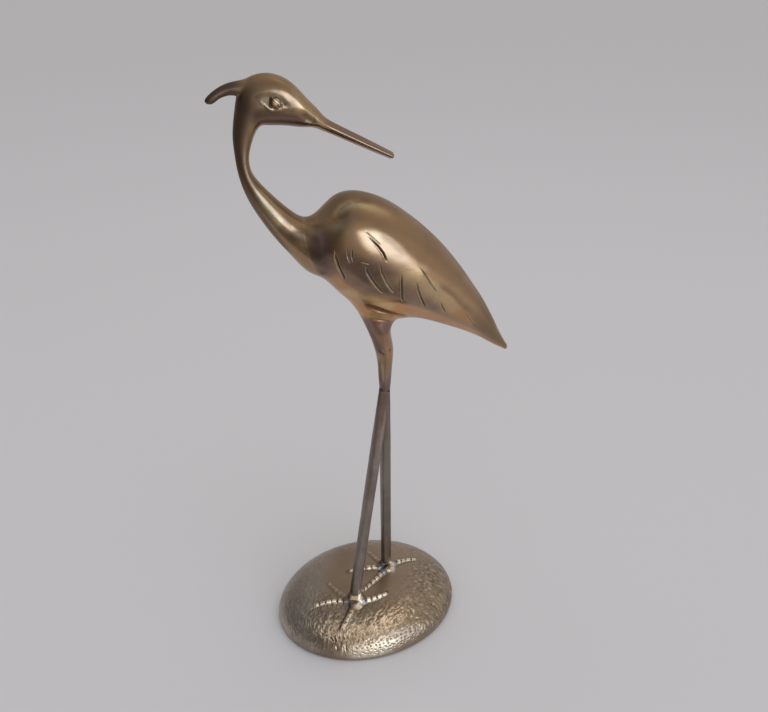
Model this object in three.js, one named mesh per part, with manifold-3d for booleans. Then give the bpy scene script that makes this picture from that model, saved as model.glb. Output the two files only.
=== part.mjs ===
// Brass heron figurine: crested bird on two rod legs over an oval pebbled base.
// Millimetres, +Z up. Breast toward -X, tail toward +X, left side toward -Y.
// The origin is the middle of the base's flat underside.
import * as THREE from 'three';
import { mergeVertices } from 'three/addons/utils/BufferGeometryUtils.js';
import Module from 'manifold-3d';

// ---------------------------------------------------------------- sizes (mm)
const BASE_HALF_LENGTH = 53.0;      // oval plan, along X
const BASE_HALF_WIDTH = 42.6;       // oval plan, along Y
const BASE_HEIGHT = 22;             // underside to the top of the dome
const BASE_RIM = 1.2;               // thin upright edge under the dome
const BASE_EDGE = 0.5;              // small bevel round the underside
const BASE_FULLNESS = 2.7;          // dome profile power, 2 = ellipse
const BASE_RINGS = 16;
const BASE_SEGMENTS = 64;

const BIRD_PLANE_Y = -8;            // the bird's plane of symmetry
const BIRD_COLUMNS = 28;            // facets round the bird
const BIRD_ROWS_PER_SECTION = 2.4;  // facets along the bird

const WING_SWELL = 1.1;             // how far the folded wing stands out of the flank
const WING_SOFT_EDGE = 3.2;         // width of its rounded border
const BROW_RIDGE = 0.45;            // raised line from brow to bill
const BROW_RIDGE_WIDTH = 1.5;

const EYE_CENTRE = [-38.8, 293.2];  // x, z
const EYE_LENGTH = 6.4;
const EYE_HEIGHT = 4.2;
const EYE_PROUD = 0.7;
const EYE_TILT = -14;               // degrees, front corner lower

const LEG_SOFTNESS = 3.4;           // section power: 2 round, large = square
const SEAT_GAP = 0.3;               // gap where a leg meets the bird and the base

const LEFT_LEG_TOP = 5.5, LEFT_LEG_BOTTOM = 5.5;
const RIGHT_LEG_TOP = 5.4, RIGHT_LEG_BOTTOM = 5.4;
const LEG_SPACING_TOP = 5.9;        // centre to centre at the thigh stub

const TOE_WIDTH = 4.2;              // at the root
const TOE_RISE = 2.4;               // above the dome
const TOE_BEADS = 4;                // joints along a toe
const ANKLE_RADIUS = 4.6;

// The trunk from tail tip to bill tip: each section is an oval in a plane
// square to the plane of symmetry.
//  x, z    middle of the section
//  tilt    direction from its middle to the belly/nape side, degrees in XZ
//  depth   its size along that direction, width: its size across the bird
//  egg     widest part moved toward (+) or away (-) from that side
//  power   2 = ellipse, less = lozenge with an edge along the side
const trunkSections = [
  // name, x, z, tilt, depth, width, egg, power
  ['tail_tip', 75.7, 163.9, -99, 3.2, 3.2, -0.1, 1.7],
  ['tail_end', 68.1, 171.4, -125.9, 8, 9, -0.12, 1.8],
  ['tail_low', 60.2, 181, -127.7, 14.2, 15, -0.13, 1.9],
  ['tail', 44.3, 195.5, -122.1, 27.1, 23.8, -0.15, 1.96],
  ['rump', 28, 209.1, -116.5, 38.3, 31.2, -0.15, 2.01],
  ['belly_back', 15.3, 214, -108.1, 52.1, 36.6, -0.15, 2.05],
  ['belly', 3.2, 223.3, -106.1, 53.1, 38.4, -0.15, 2.05],
  ['thigh_front', -9.2, 231.9, -105.8, 46.8, 36.8, -0.12, 2.05],
  ['breast_low', -16.7, 235.3, -105, 37.5, 31.6, -0.1, 2.04],
  ['breast', -23.8, 232.9, -106.8, 28.7, 24.7, -0.06, 2.02],
  ['neck_root', -30.6, 235.4, -115.1, 17, 17.5, -0.02, 2.01],
  ['neck_low', -38, 243.2, -132.3, 13, 13.5, 0, 2],
  ['neck_mid', -45.8, 253.5, -144.7, 10.2, 11.3, 0, 2],
  ['neck_upper', -51.9, 263.9, -149.8, 5.5, 8.5, 0, 2],
  ['neck_thin', -52.4, 272.2, -179.7, 5.1, 7.6, 0, 2],
  ['neck_top', -51.7, 279.5, -206.1, 8.2, 8.9, 0, 2],
  ['throat_back', -49.7, 285.8, -222.9, 10.6, 11.4, 0.01, 2],
  ['nape', -48, 290, -233.6, 14.6, 13.5, 0.02, 2.04],
  ['head_back', -45.6, 292.6, -245, 19.4, 15.3, 0.02, 2.07],
  ['crown', -39.2, 293.8, -254.7, 21, 16, 0.03, 2.11],
  ['brow', -33.2, 292.9, -260.4, 20.3, 15.4, 0.04, 2.1],
  ['forehead', -28, 290.6, -261.7, 17.4, 13.8, 0.04, 2.08],
  ['face', -23.9, 287.6, -265.3, 11.1, 11.2, 0.02, 2.06],
  ['bill_root_back', -20.1, 284.9, -272.7, 7.9, 8.6, 0, 1.99],
  ['bill_root', -18, 282.8, -277.9, 5.8, 6.8, 0, 1.75],
  ['bill_base', -14.2, 280.8, -281.3, 4.8, 6, 0, 1.5],
  ['bill_mid', -0.6, 273.9, -299.8, 4.1, 4.8, 0, 1.47],
  ['bill_tip', 11.7, 267.7, -296.7, 3, 3.6, 0, 1.45],
];

// The thigh stub from inside the belly down to the tops of the legs.
const thighSections = [
  // name, x, z, tilt, depth, width, yaw
  ['inside_body', 5.5, 207, 155, 22, 19, 0],
  ['inside_belly', 2.5, 201.5, 152, 26, 22, 0],
  ['flank_root', 1.9, 196.6, 152, 24.4, 23.5, 2],
  ['flank', 2.8, 193.2, 152.9, 18.4, 21, 4],
  ['thigh_top', 4.6, 187.9, 156.4, 13.6, 18.6, 7],
  ['thigh', 6.8, 180.9, 170, 10.3, 16, 11],
  ['thigh_low', 8.5, 174.1, 176.7, 9, 14.2, 15],
  ['knee', 8.8, 166.2, 173.6, 7, 12.8, 18],
  ['stub', 8.7, 159.4, 168.9, 6.6, 12, 20],
  ['stub_end', 8.7, 153.3, 168.4, 5.7, 11.6, 20],
];
const STUB_END = { x: 8.7, z: 153.3, tilt: 168.4, yaw: 20 };

// The crest from inside the head to its rounded tip.
const crestSections = [
  // name, x, z, tilt, depth, width
  ['inside_head', -48.2, 298, 58.3, 6.9, 8.5],
  ['root_back', -51, 298.3, 66.2, 6.8, 8],
  ['root', -52.9, 298.3, 75.2, 5.8, 6.8],
  ['lift', -54.4, 298.3, 89.7, 4.5, 5.6],
  ['rise', -57, 297.7, 113.5, 4.1, 4.8],
  ['mid', -60, 296.4, 129.4, 3.5, 4.3],
  ['outer', -62.2, 294.7, 138.2, 3.6, 3.8],
  ['end', -63.3, 293.9, 139, 3, 2.9],
  ['tip', -64.1, 293.6, 136.5, 1.4, 1.6],
];

// Border of the folded wing on the flank, seen from the side (x, z).
const wingBorder = [
  [-8, 262], [-14.5, 254], [-18.2, 246.8], [-21.4, 239.7], [-21.8, 231.5], [-18.6, 222.9],
  [-13.9, 217.1], [-7.8, 212.3], [0.9, 208.8], [10.1, 206.3], [24.1, 198.5], [38.5, 190.3],
  [54.1, 179.7], [67.7, 170.1], [82, 160], [82, 262],
];
// Raised line from above the eye to the root of the bill (x, z).
const browLine = [[-38.5, 298.7], [-34.9, 296.4], [-31.1, 293.6], [-27.1, 290.3], [-22.8, 286.4], [-18.4, 282.2]];

// Feet: hub and ankle in the base's plan; each toe has a heading (degrees,
// 180 = forward), a length and a sideways bow.
const feet = {
  left: {
    hub: [-13.2, -17.9], ankleTop: [-11.7, -15.1, 25.5],
    toes: { middle: [160, 23.1, -1.2], inner: [117, 22.8, 1.2], outer: [-135, 17.2, 0.6], back: [1, 21.7, -1.4] },
  },
  right: {
    hub: [13.6, 0.4], ankleTop: [13.6, 2.9, 25.3],
    toes: { middle: [169, 25.2, -0.8], inner: [110, 18.4, 0.8], outer: [-148, 22.8, 0.8], back: [8, 20.7, 1.2] },
  },
};

// ------------------------------------------------------------------- helpers
const RAD = Math.PI / 180;
const clamp = THREE.MathUtils.clamp;
const smooth = (a, b, v) => THREE.MathUtils.smoothstep(v, a, b);

// Uniform cubic B-spline through a table of numbers, straight at both ends.
function sectionAt(table, t) {
  const last = table.length - 1;
  t = clamp(t, 0, last);
  const i = Math.min(Math.floor(t), last - 1), u = t - i;
  const row = (k) => {
    if (k < 0) return table[0].map((v, c) => 2 * v - table[1][c]);
    if (k > last) return table[last].map((v, c) => 2 * v - table[last - 1][c]);
    return table[k];
  };
  const w = [(1 - u) ** 3, 3 * u ** 3 - 6 * u ** 2 + 4, -3 * u ** 3 + 3 * u ** 2 + 3 * u + 1, u ** 3];
  return table[0].map((_, c) => w.reduce((sum, wk, k) => sum + wk * row(i - 1 + k)[c], 0) / 6);
}
const numbers = (rows) => rows.map((r) => r.slice(1));
const signedPower = (v, e) => Math.sign(v) * Math.abs(v) ** e;

// Closed surface over rings of points, each ring the same length.
function loft(rings) {
  const n = rings[0].length, positions = [], index = [];
  rings.forEach((ring) => ring.forEach((p) => positions.push(p.x, p.y, p.z)));
  for (let i = 0; i + 1 < rings.length; i++) {
    for (let j = 0; j < n; j++) {
      const a = i * n + j, b = i * n + (j + 1) % n, c = a + n, d = b + n;
      index.push(a, b, d, a, d, c);
    }
  }
  [0, rings.length - 1].forEach((i) => {
    const middle = rings[i].reduce((s, p) => s.add(p), new THREE.Vector3()).divideScalar(n);
    const k = positions.length / 3;
    positions.push(middle.x, middle.y, middle.z);
    for (let j = 0; j < n; j++) {
      const a = i * n + j, b = i * n + (j + 1) % n;
      if (i === 0) index.push(a, k, b); else index.push(a, b, k);
    }
  });
  const g = new THREE.BufferGeometry();
  g.setAttribute('position', new THREE.Float32BufferAttribute(positions, 3));
  g.setIndex(index);
  return facingOut(g);
}

// Turn all triangles round if the enclosed volume comes out negative.
function facingOut(g) {
  const p = g.getAttribute('position'), ix = g.getIndex().array;
  const a = new THREE.Vector3(), b = new THREE.Vector3(), c = new THREE.Vector3();
  let volume = 0;
  for (let i = 0; i < ix.length; i += 3) {
    a.fromBufferAttribute(p, ix[i]); b.fromBufferAttribute(p, ix[i + 1]); c.fromBufferAttribute(p, ix[i + 2]);
    volume += a.dot(b.cross(c)) / 6;
  }
  if (volume < 0) for (let i = 0; i < ix.length; i += 3) [ix[i + 1], ix[i + 2]] = [ix[i + 2], ix[i + 1]];
  return g;
}

function segmentDistance(px, pz, a, b) {
  const dx = b[0] - a[0], dz = b[1] - a[1];
  const u = clamp(((px - a[0]) * dx + (pz - a[1]) * dz) / (dx * dx + dz * dz), 0, 1);
  return Math.hypot(px - a[0] - u * dx, pz - a[1] - u * dz);
}
function borderDistance(px, pz, outline) { // positive inside
  let d = Infinity, inside = false;
  outline.forEach((a, i) => {
    const b = outline[(i + 1) % outline.length];
    d = Math.min(d, segmentDistance(px, pz, a, b));
    if ((a[1] > pz) !== (b[1] > pz) && px < (b[0] - a[0]) * (pz - a[1]) / (b[1] - a[1]) + a[0]) inside = !inside;
  });
  return inside ? d : -d;
}
function lineDistance(px, pz, line) {
  let d = Infinity;
  for (let i = 0; i + 1 < line.length; i++) d = Math.min(d, segmentDistance(px, pz, line[i], line[i + 1]));
  return d;
}

// ---------------------------------------------------------------- manifold-3d
const wasm = await Module();
wasm.setup();
function solid(geometry) {
  const g = geometry.clone();
  g.deleteAttribute('normal'); g.deleteAttribute('uv');
  const m = mergeVertices(g, 1e-4);
  return new wasm.Manifold(new wasm.Mesh({
    numProp: 3,
    vertProperties: new Float32Array(m.getAttribute('position').array),
    triVerts: new Uint32Array(m.getIndex().array),
  }));
}
function geometryOf(manifold) {
  const m = manifold.getMesh();
  const g = new THREE.BufferGeometry();
  g.setAttribute('position', new THREE.Float32BufferAttribute(new Float32Array(m.vertProperties), 3));
  g.setIndex(Array.from(m.triVerts));
  return g;
}

// ---------------------------------------------------------------------- trunk
function trunkPoint(t, phi) {
  const [x, z, tilt, depth, width, egg, power] = sectionAt(numbers(trunkSections), t);
  const c = Math.cos(phi), s = Math.sin(phi), e = 2 / power;
  const along = depth / 2 * signedPower(c, e);
  const across = width / 2 * signedPower(s, e) * (1 + egg * c);
  return new THREE.Vector3(x + along * Math.cos(tilt * RAD), across, z + along * Math.sin(tilt * RAD));
}
function carvedTrunkPoint(t, phi) {
  const p = trunkPoint(t, phi);
  const flank = smooth(0.45, 0.85, Math.abs(Math.sin(phi)));
  const wing = smooth(-WING_SOFT_EDGE / 2, WING_SOFT_EDGE / 2, borderDistance(p.x, p.z, wingBorder));
  const taper = smooth(0.5, 3, t);
  const ridge = Math.exp(-((lineDistance(p.x, p.z, browLine) / BROW_RIDGE_WIDTH) ** 2));
  p.y += Math.sign(p.y) * flank * (WING_SWELL * wing * taper + BROW_RIDGE * ridge);
  p.y += BIRD_PLANE_Y;
  return p;
}
function trunk() {
  const last = trunkSections.length - 1;
  const rows = Math.round(last * BIRD_ROWS_PER_SECTION), rings = [];
  for (let i = 0; i <= rows; i++) {
    const ring = [];
    for (let j = 0; j < BIRD_COLUMNS; j++) ring.push(carvedTrunkPoint(i / rows * last, j / BIRD_COLUMNS * 2 * Math.PI));
    rings.push(ring);
  }
  return loft(rings);
}

// A limb: sections with their own tilt and yaw.
function limbRing(x, y, z, tilt, depth, width, yaw, power, columns) {
  const h = new THREE.Vector3(Math.cos(yaw * RAD), -Math.sin(yaw * RAD), 0);
  const l = new THREE.Vector3(Math.sin(yaw * RAD), Math.cos(yaw * RAD), 0);
  const n = h.multiplyScalar(Math.cos(tilt * RAD)).add(new THREE.Vector3(0, 0, Math.sin(tilt * RAD)));
  const ring = [];
  for (let j = 0; j < columns; j++) {
    const phi = (j + 0.5) / columns * 2 * Math.PI, e = 2 / power;
    ring.push(new THREE.Vector3(x, y, z)
      .addScaledVector(n, depth / 2 * signedPower(Math.cos(phi), e))
      .addScaledVector(l, width / 2 * signedPower(Math.sin(phi), e)));
  }
  return ring;
}
function limb(sections, rowsPerSection, columns) {
  const table = numbers(sections), rings = [], last = table.length - 1, rows = Math.round(last * rowsPerSection);
  for (let i = 0; i <= rows; i++) {
    const [x, z, tilt, depth, width, yaw = 0] = sectionAt(table, i / rows * last);
    rings.push(limbRing(x, BIRD_PLANE_Y, z, tilt, depth, width, yaw, 2, columns));
  }
  return loft(rings);
}

// Almond-shaped eye standing a little proud of both sides of the head.
function eye(side) {
  const g = new THREE.SphereGeometry(1, 14, 8);
  g.scale(EYE_LENGTH / 2, 2, EYE_HEIGHT / 2);
  g.rotateY(-EYE_TILT * RAD);
  let surface = 0;
  for (let t = 17; t < 21; t += 0.1) {
    for (let phi = 0.5; phi < 2.6; phi += 0.05) {
      const p = trunkPoint(t, phi);
      if (Math.hypot(p.x - EYE_CENTRE[0], p.z - EYE_CENTRE[1]) < 0.6) surface = Math.max(surface, p.y);
    }
  }
  g.translate(EYE_CENTRE[0], BIRD_PLANE_Y + side * (surface + EYE_PROUD - 2), EYE_CENTRE[1]);
  return g;
}

// ----------------------------------------------------------------------- legs
function leg(spacing, foot, topSize, bottomSize) {
  const yaw = STUB_END.yaw * RAD;
  const tilt = STUB_END.tilt * RAD;
  // step out of the stub's end face, square to it
  const out = new THREE.Vector3(Math.sin(tilt) * Math.cos(yaw), -Math.sin(tilt) * Math.sin(yaw), -Math.cos(tilt)).multiplyScalar(-SEAT_GAP);
  const top = new THREE.Vector3(STUB_END.x + spacing * Math.sin(yaw), BIRD_PLANE_Y + spacing * Math.cos(yaw), STUB_END.z).add(out);
  const bottom = new THREE.Vector3(...foot.ankleTop);
  bottom.z += SEAT_GAP;
  const rings = [], rows = 6;
  for (let i = 0; i <= rows; i++) {
    const u = i / rows, p = bottom.clone().lerp(top, u), size = bottomSize + (topSize - bottomSize) * u;
    const blend = Math.max(0, (u - 0.5) * 2) ** 2;   // end faces follow the ankle and the stub
    rings.push(limbRing(p.x, p.y, p.z, 180 + (STUB_END.tilt - 180) * blend, size, size, STUB_END.yaw * blend, LEG_SOFTNESS, 20));
  }
  return loft(rings);
}

// ----------------------------------------------------------------------- base
function domeHeight(x, y) {
  const r = Math.hypot(x / BASE_HALF_LENGTH, y / BASE_HALF_WIDTH);
  return BASE_RIM + (BASE_HEIGHT - BASE_RIM) * Math.sqrt(Math.max(0, 1 - r ** BASE_FULLNESS));
}
function dome() {
  const ring = (r, z) => Array.from({ length: BASE_SEGMENTS }, (_, j) => {
    const a = j / BASE_SEGMENTS * 2 * Math.PI;
    return new THREE.Vector3(BASE_HALF_LENGTH * r * Math.cos(a), BASE_HALF_WIDTH * r * Math.sin(a), z);
  });
  const inset = 1 - BASE_EDGE / BASE_HALF_WIDTH;
  const rings = [ring(inset, 0), ring(1, BASE_EDGE), ring(1, BASE_RIM)];
  for (let i = 1; i < BASE_RINGS; i++) {
    const q = (1 - i / BASE_RINGS) * Math.PI / 2;
    rings.push(ring(Math.sin(q) ** (2 / BASE_FULLNESS), BASE_RIM + (BASE_HEIGHT - BASE_RIM) * Math.cos(q)));
  }
  return loft(rings);
}
function toe(hub, [heading, length, bow]) {
  const rows = TOE_BEADS * 3, rings = [];
  const d = new THREE.Vector2(Math.cos(heading * RAD), Math.sin(heading * RAD)), side = new THREE.Vector2(-d.y, d.x);
  for (let i = 0; i <= rows; i++) {
    const u = i / rows;
    const x = hub[0] + d.x * length * u + side.x * bow * Math.sin(Math.PI * u);
    const y = hub[1] + d.y * length * u + side.y * bow * Math.sin(Math.PI * u);
    const bead = 0.78 + 0.22 * Math.abs(Math.sin(Math.PI * (u * TOE_BEADS + 0.5)));
    const half = TOE_WIDTH / 2 * (1 - 0.62 * u) * bead;
    const rise = TOE_RISE * (1 - 0.7 * u) * bead, sunk = 1.2;
    const z = domeHeight(x, y) - sunk;
    rings.push(Array.from({ length: 8 }, (_, j) => {
      const a = (j + 0.5) / 8 * 2 * Math.PI;
      return new THREE.Vector3(x + side.x * half * Math.cos(a), y + side.y * half * Math.cos(a), z + (rise + sunk) * Math.sin(a));
    }));
  }
  return loft(rings);
}
function ankle(foot, legSize) {
  const [hx, hy] = foot.hub, [ax, ay, az] = foot.ankleTop, z0 = domeHeight(hx, hy) - 2;
  const step = (u, size, power) => limbRing(hx + (ax - hx) * u, hy + (ay - hy) * u, z0 + (az - z0) * u, 180, size, size, 0, power, 16);
  return loft([step(0, ANKLE_RADIUS * 2, 2), step(0.45, ANKLE_RADIUS * 1.75, 2.2), step(0.75, legSize * 1.2, 2.8), step(1, legSize * 1.04, LEG_SOFTNESS)]);
}

// -------------------------------------------------------------------- assembly
let bird = solid(trunk()).add(solid(limb(thighSections, 1.4, 20))).add(solid(limb(crestSections, 1.5, 14)));
for (const side of [-1, 1]) bird = bird.add(solid(eye(side)));

let base = solid(dome());
for (const [name, foot] of Object.entries(feet)) {
  for (const t of Object.values(foot.toes)) base = base.add(solid(toe(foot.hub, t)));
  base = base.add(solid(ankle(foot, name === 'left' ? LEFT_LEG_BOTTOM : RIGHT_LEG_BOTTOM)));
}

const part = new THREE.Group();
part.name = 'brass_heron_figurine';
function addNode(name, geometry, colour, roughness) {
  const flat = geometry.index ? geometry.toNonIndexed() : geometry;
  flat.computeVertexNormals();
  const mesh = new THREE.Mesh(flat, new THREE.MeshStandardMaterial({ color: colour, metalness: 1, roughness }));
  mesh.name = name;
  part.add(mesh);
}
addNode('bird', geometryOf(bird), 0x8f7749, 0.35);
addNode('left_leg', leg(-LEG_SPACING_TOP / 2, feet.left, LEFT_LEG_TOP, LEFT_LEG_BOTTOM), 0x574a40, 0.5);
addNode('right_leg', leg(LEG_SPACING_TOP / 2, feet.right, RIGHT_LEG_TOP, RIGHT_LEG_BOTTOM), 0x51453c, 0.5);
addNode('base', geometryOf(base), 0x7d6947, 0.45);

export default part;
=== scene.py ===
"""Brass heron figurine: crested bird on two rod legs over an oval pebbled base.

Breast toward -X, tail toward +X, the bird's left side toward -Y. Shapes are
worked out in millimetres and turned into metres when a mesh is made.
"""
import math

import bmesh
import bpy
import numpy as np
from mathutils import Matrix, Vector


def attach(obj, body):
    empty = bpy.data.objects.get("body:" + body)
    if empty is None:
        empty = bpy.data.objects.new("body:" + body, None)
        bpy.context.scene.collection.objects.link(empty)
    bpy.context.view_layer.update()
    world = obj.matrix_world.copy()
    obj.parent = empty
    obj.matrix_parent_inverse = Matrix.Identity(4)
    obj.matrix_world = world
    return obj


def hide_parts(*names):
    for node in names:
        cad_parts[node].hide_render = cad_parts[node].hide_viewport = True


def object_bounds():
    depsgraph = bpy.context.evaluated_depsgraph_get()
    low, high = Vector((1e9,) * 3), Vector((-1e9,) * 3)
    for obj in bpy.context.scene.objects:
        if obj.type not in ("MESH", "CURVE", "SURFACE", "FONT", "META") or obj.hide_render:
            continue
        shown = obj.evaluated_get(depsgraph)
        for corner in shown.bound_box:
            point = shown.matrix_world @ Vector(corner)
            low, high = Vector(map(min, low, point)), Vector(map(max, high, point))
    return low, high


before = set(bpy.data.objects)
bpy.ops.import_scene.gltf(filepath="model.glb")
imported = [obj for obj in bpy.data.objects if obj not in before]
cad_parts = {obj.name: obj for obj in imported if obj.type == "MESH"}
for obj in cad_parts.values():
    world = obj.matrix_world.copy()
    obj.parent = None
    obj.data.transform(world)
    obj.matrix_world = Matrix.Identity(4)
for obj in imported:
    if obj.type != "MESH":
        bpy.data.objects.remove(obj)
cad_low, cad_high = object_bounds()
cad_low, cad_high = list(cad_low), list(cad_high)

MM = 0.001
PLANE_Y = -8.0          # the bird's plane of symmetry
RAD = math.pi / 180

# ------------------------------------------------------------------ the forms
# Trunk sections from tail tip to bill tip: x, z, tilt, depth, width, egg, power
TRUNK = np.array([
    [75.7, 163.9, -99, 3.2, 3.2, -0.1, 1.7],         # tail tip
    [68.1, 171.4, -125.9, 8, 9, -0.12, 1.8],
    [60.2, 181, -127.7, 14.2, 15, -0.13, 1.9],
    [44.3, 195.5, -122.1, 27.1, 23.8, -0.15, 1.96],  # tail
    [28, 209.1, -116.5, 38.3, 31.2, -0.15, 2.01],    # rump
    [15.3, 214, -108.1, 52.1, 36.6, -0.15, 2.05],
    [3.2, 223.3, -106.1, 53.1, 38.4, -0.15, 2.05],   # belly
    [-9.2, 231.9, -105.8, 46.8, 36.8, -0.12, 2.05],
    [-16.7, 235.3, -105, 37.5, 31.6, -0.1, 2.04],
    [-23.8, 232.9, -106.8, 28.7, 24.7, -0.06, 2.02],  # breast
    [-30.6, 235.4, -115.1, 17, 17.5, -0.02, 2.01],   # neck root
    [-38, 243.2, -132.3, 13, 13.5, 0, 2],
    [-45.8, 253.5, -144.7, 10.2, 11.3, 0, 2],
    [-51.9, 263.9, -149.8, 5.5, 8.5, 0, 2],
    [-52.4, 272.2, -179.7, 5.1, 7.6, 0, 2],          # thinnest
    [-51.7, 279.5, -206.1, 8.2, 8.9, 0, 2],
    [-49.7, 285.8, -222.9, 10.6, 11.4, 0.01, 2],
    [-48, 290, -233.6, 14.6, 13.5, 0.02, 2.04],      # nape
    [-45.6, 292.6, -245, 19.4, 15.3, 0.02, 2.07],
    [-39.2, 293.8, -254.7, 21, 16, 0.03, 2.11],      # crown
    [-33.2, 292.9, -260.4, 20.3, 15.4, 0.04, 2.1],
    [-28, 290.6, -261.7, 17.4, 13.8, 0.04, 2.08],    # forehead
    [-23.9, 287.6, -265.3, 11.1, 11.2, 0.02, 2.06],
    [-20.1, 284.9, -272.7, 7.9, 8.6, 0, 1.99],
    [-18, 282.8, -277.9, 5.8, 6.8, 0, 1.75],
    [-14.2, 280.8, -281.3, 4.8, 6, 0, 1.5],          # bill root
    [-0.6, 273.9, -299.8, 4.1, 4.8, 0, 1.47],
    [11.7, 267.7, -296.7, 3, 3.6, 0, 1.45],          # bill tip
])
# Thigh and crest sections: x, z, tilt, depth, width, yaw, power
THIGH = np.array([
    [5.5, 207, 155, 22, 19, 0, 2],
    [2.5, 201.5, 152, 26, 22, 0, 2],
    [1.9, 196.6, 152, 24.4, 23.5, 2, 2],
    [2.8, 193.2, 152.9, 18.4, 21, 4, 2],
    [4.6, 187.9, 156.4, 13.6, 18.6, 7, 2],
    [6.8, 180.9, 170, 10.3, 16, 11, 2],
    [8.5, 174.1, 176.7, 9, 14.2, 15, 2],
    [8.8, 166.2, 173.6, 7, 12.8, 18, 2],
    [8.7, 159.4, 168.9, 6.6, 12, 20, 2],
    [8.7, 153.3, 168.4, 5.7, 11.6, 20, 2],
])
CREST = np.array([
    [-48.2, 298, 58.3, 6.9, 8.5, 0, 2],
    [-51, 298.3, 66.2, 6.8, 8, 0, 2],
    [-52.9, 298.3, 75.2, 5.8, 6.8, 0, 2],
    [-54.4, 298.3, 89.7, 4.5, 5.6, 0, 2],
    [-57, 297.7, 113.5, 4.1, 4.8, 0, 2],
    [-60, 296.4, 129.4, 3.5, 4.3, 0, 2],
    [-62.2, 294.7, 138.2, 3.6, 3.8, 0, 2],
    [-63.25, 293.9, 139, 3, 2.9, 0, 2],
    [-64.04, 293.6, 136.5, 1.4, 1.6, 0, 2],
])
STUB = dict(x=8.7, z=153.3, tilt=168.4, yaw=20.0)
LEG_SPACING_TOP = 5.9
FEET = {
    "left": dict(hub=(-13.2, -17.9), top=(-11.7, -15.1, 25.5), size=(5.5, 5.5), toes={
        "middle": (160, 23.1, -1.2), "inner": (117, 22.8, 1.2), "outer": (-135, 17.2, 0.6), "back": (1, 21.7, -1.4)}),
    "right": dict(hub=(13.6, 0.4), top=(13.6, 2.9, 25.3), size=(5.4, 5.4), toes={
        "middle": (169, 25.2, -0.8), "inner": (110, 18.4, 0.8), "outer": (-148, 22.8, 0.8), "back": (8, 20.7, 1.2)}),
}
BASE_A, BASE_B, BASE_H, BASE_RIM, BASE_EDGE, BASE_P = 53.0, 42.6, 22.0, 1.2, 0.5, 2.7

# Side-view (x, z) places of the carving on the flank and head.
WING = np.array([(-30, 275), (-27, 256), (-22.8, 246.8), (-21.4, 239.7), (-21.8, 231.5), (-18.6, 222.9),
                 (-13.9, 217.1), (-7.8, 212.3), (0.9, 208.8), (10.1, 206.3), (24.1, 198.5), (38.5, 190.3),
                 (54.1, 179.7), (67.7, 170.1), (82, 160), (82, 275)], float)
MANTLE = np.array([(-18.9, 10.1, 244.4), (-16.0, 8.2, 247.9), (-12.8, 8.1, 250.1), (-10.0, 8.9, 250.9), (-6.8, 9.9, 250.8), (-3.6, 10.9, 249.9), (0.7, 11.7, 248.4),
                   (5.9, 12.2, 245.8), (11.3, 12.6, 242.3), (16.9, 12.6, 238.0), (23.1, 12.9, 232.3), (30.4, 13.5, 224.1), (38.4, 13.4, 213.8)], float)
BROW = np.array([(-38.0, 301.6), (-33.9, 299.0), (-30.1, 295.4), (-26.6, 291.0), (-22.8, 286.5), (-18.4, 282.2)], float)
# (points, depth, half width, burr height, taper of the start) of each cut stroke
STROKES_LEFT = [
    ([(-6.6, 240.2), (-4.0, 237.8), (-1.4, 234.9), (0.9, 231.5), (2.3, 227.6)], 0.78, 0.50, 0.12, 0.5),
    ([(-6.8, 242.0), (-4.4, 239.7), (-2.0, 237.2), (0.0, 235.0)], 0.27, 0.31, 0.05, 0.2),
    ([(-14.6, 234.8), (-14.4, 231.2), (-13.3, 227.7)], 0.24, 0.38, 0.10, 0.3),
    ([(-12.7, 234.7), (-12.7, 231.1), (-12.0, 228.1)], 0.22, 0.38, 0.08, 0.3),
    ([(-19.5, 234.7), (-18.9, 230.1), (-17.4, 225.2), (-14.5, 218.8)], 0.50, 0.54, 0.26, 0.35),
    ([(-7.4, 227.9), (-6.0, 223.2), (-3.6, 219.0), (-0.6, 214.6), (2.1, 211.1)], 0.55, 0.55, 0.28, 0.3),
    ([(-0.8, 227.0), (0.3, 222.2), (2.8, 217.2), (6.7, 211.2)], 0.42, 0.52, 0.22, 0.3),
    ([(9.2, 221.2), (9.7, 215.1), (10.5, 208.6), (11.6, 205.8)], 0.52, 0.54, 0.20, 0.3),
    ([(16.3, 216.5), (18.2, 211.0), (20.4, 206.2), (23.6, 200.0)], 0.46, 0.54, 0.18, 0.3),
    ([(18.2, 222.9), (21.3, 218.0), (24.4, 213.1), (28.2, 207.9)], 0.40, 0.50, 0.20, 0.3),
    ([(30.6, 202.6), (32.1, 199.2), (34.6, 194.9)], 0.36, 0.46, 0.16, 0.3),
    ([(44.6, 193.8), (47.8, 189.1), (53.1, 182.4)], 0.18, 0.42, 0.10, 0.3),
    ([(-9.5, 228.7), (-7.4, 228.1), (-5.1, 227.3)], 0.14, 0.32, 0.10, 0.2),
    ([(26.8, 207.0), (28.8, 206.2)], 0.12, 0.32, 0.18, 0.2),
]
STROKES_RIGHT = [
    ([(-6.5, 237.2), (-3.6, 234.6), (-1.0, 231.2), (0.8, 227.4)], 0.75, 0.60, 0.12, 0.5),
    ([(-17.6, 233.0), (-16.9, 227.6), (-14.2, 220.6)], 0.34, 0.45, 0.20, 0.3),
    ([(-8.6, 226.6), (-6.0, 220.4), (-1.4, 212.9)], 0.38, 0.46, 0.22, 0.3),
    ([(1.4, 224.8), (3.4, 218.4), (7.4, 211.0)], 0.34, 0.45, 0.20, 0.3),
    ([(12.0, 220.0), (13.2, 213.6), (15.6, 206.4)], 0.38, 0.46, 0.18, 0.3),
    ([(21.0, 219.4), (24.0, 212.9), (28.6, 205.4)], 0.32, 0.45, 0.16, 0.3),
    ([(34.0, 204.0), (37.2, 198.4), (41.0, 193.0)], 0.26, 0.40, 0.12, 0.3),
]
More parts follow.
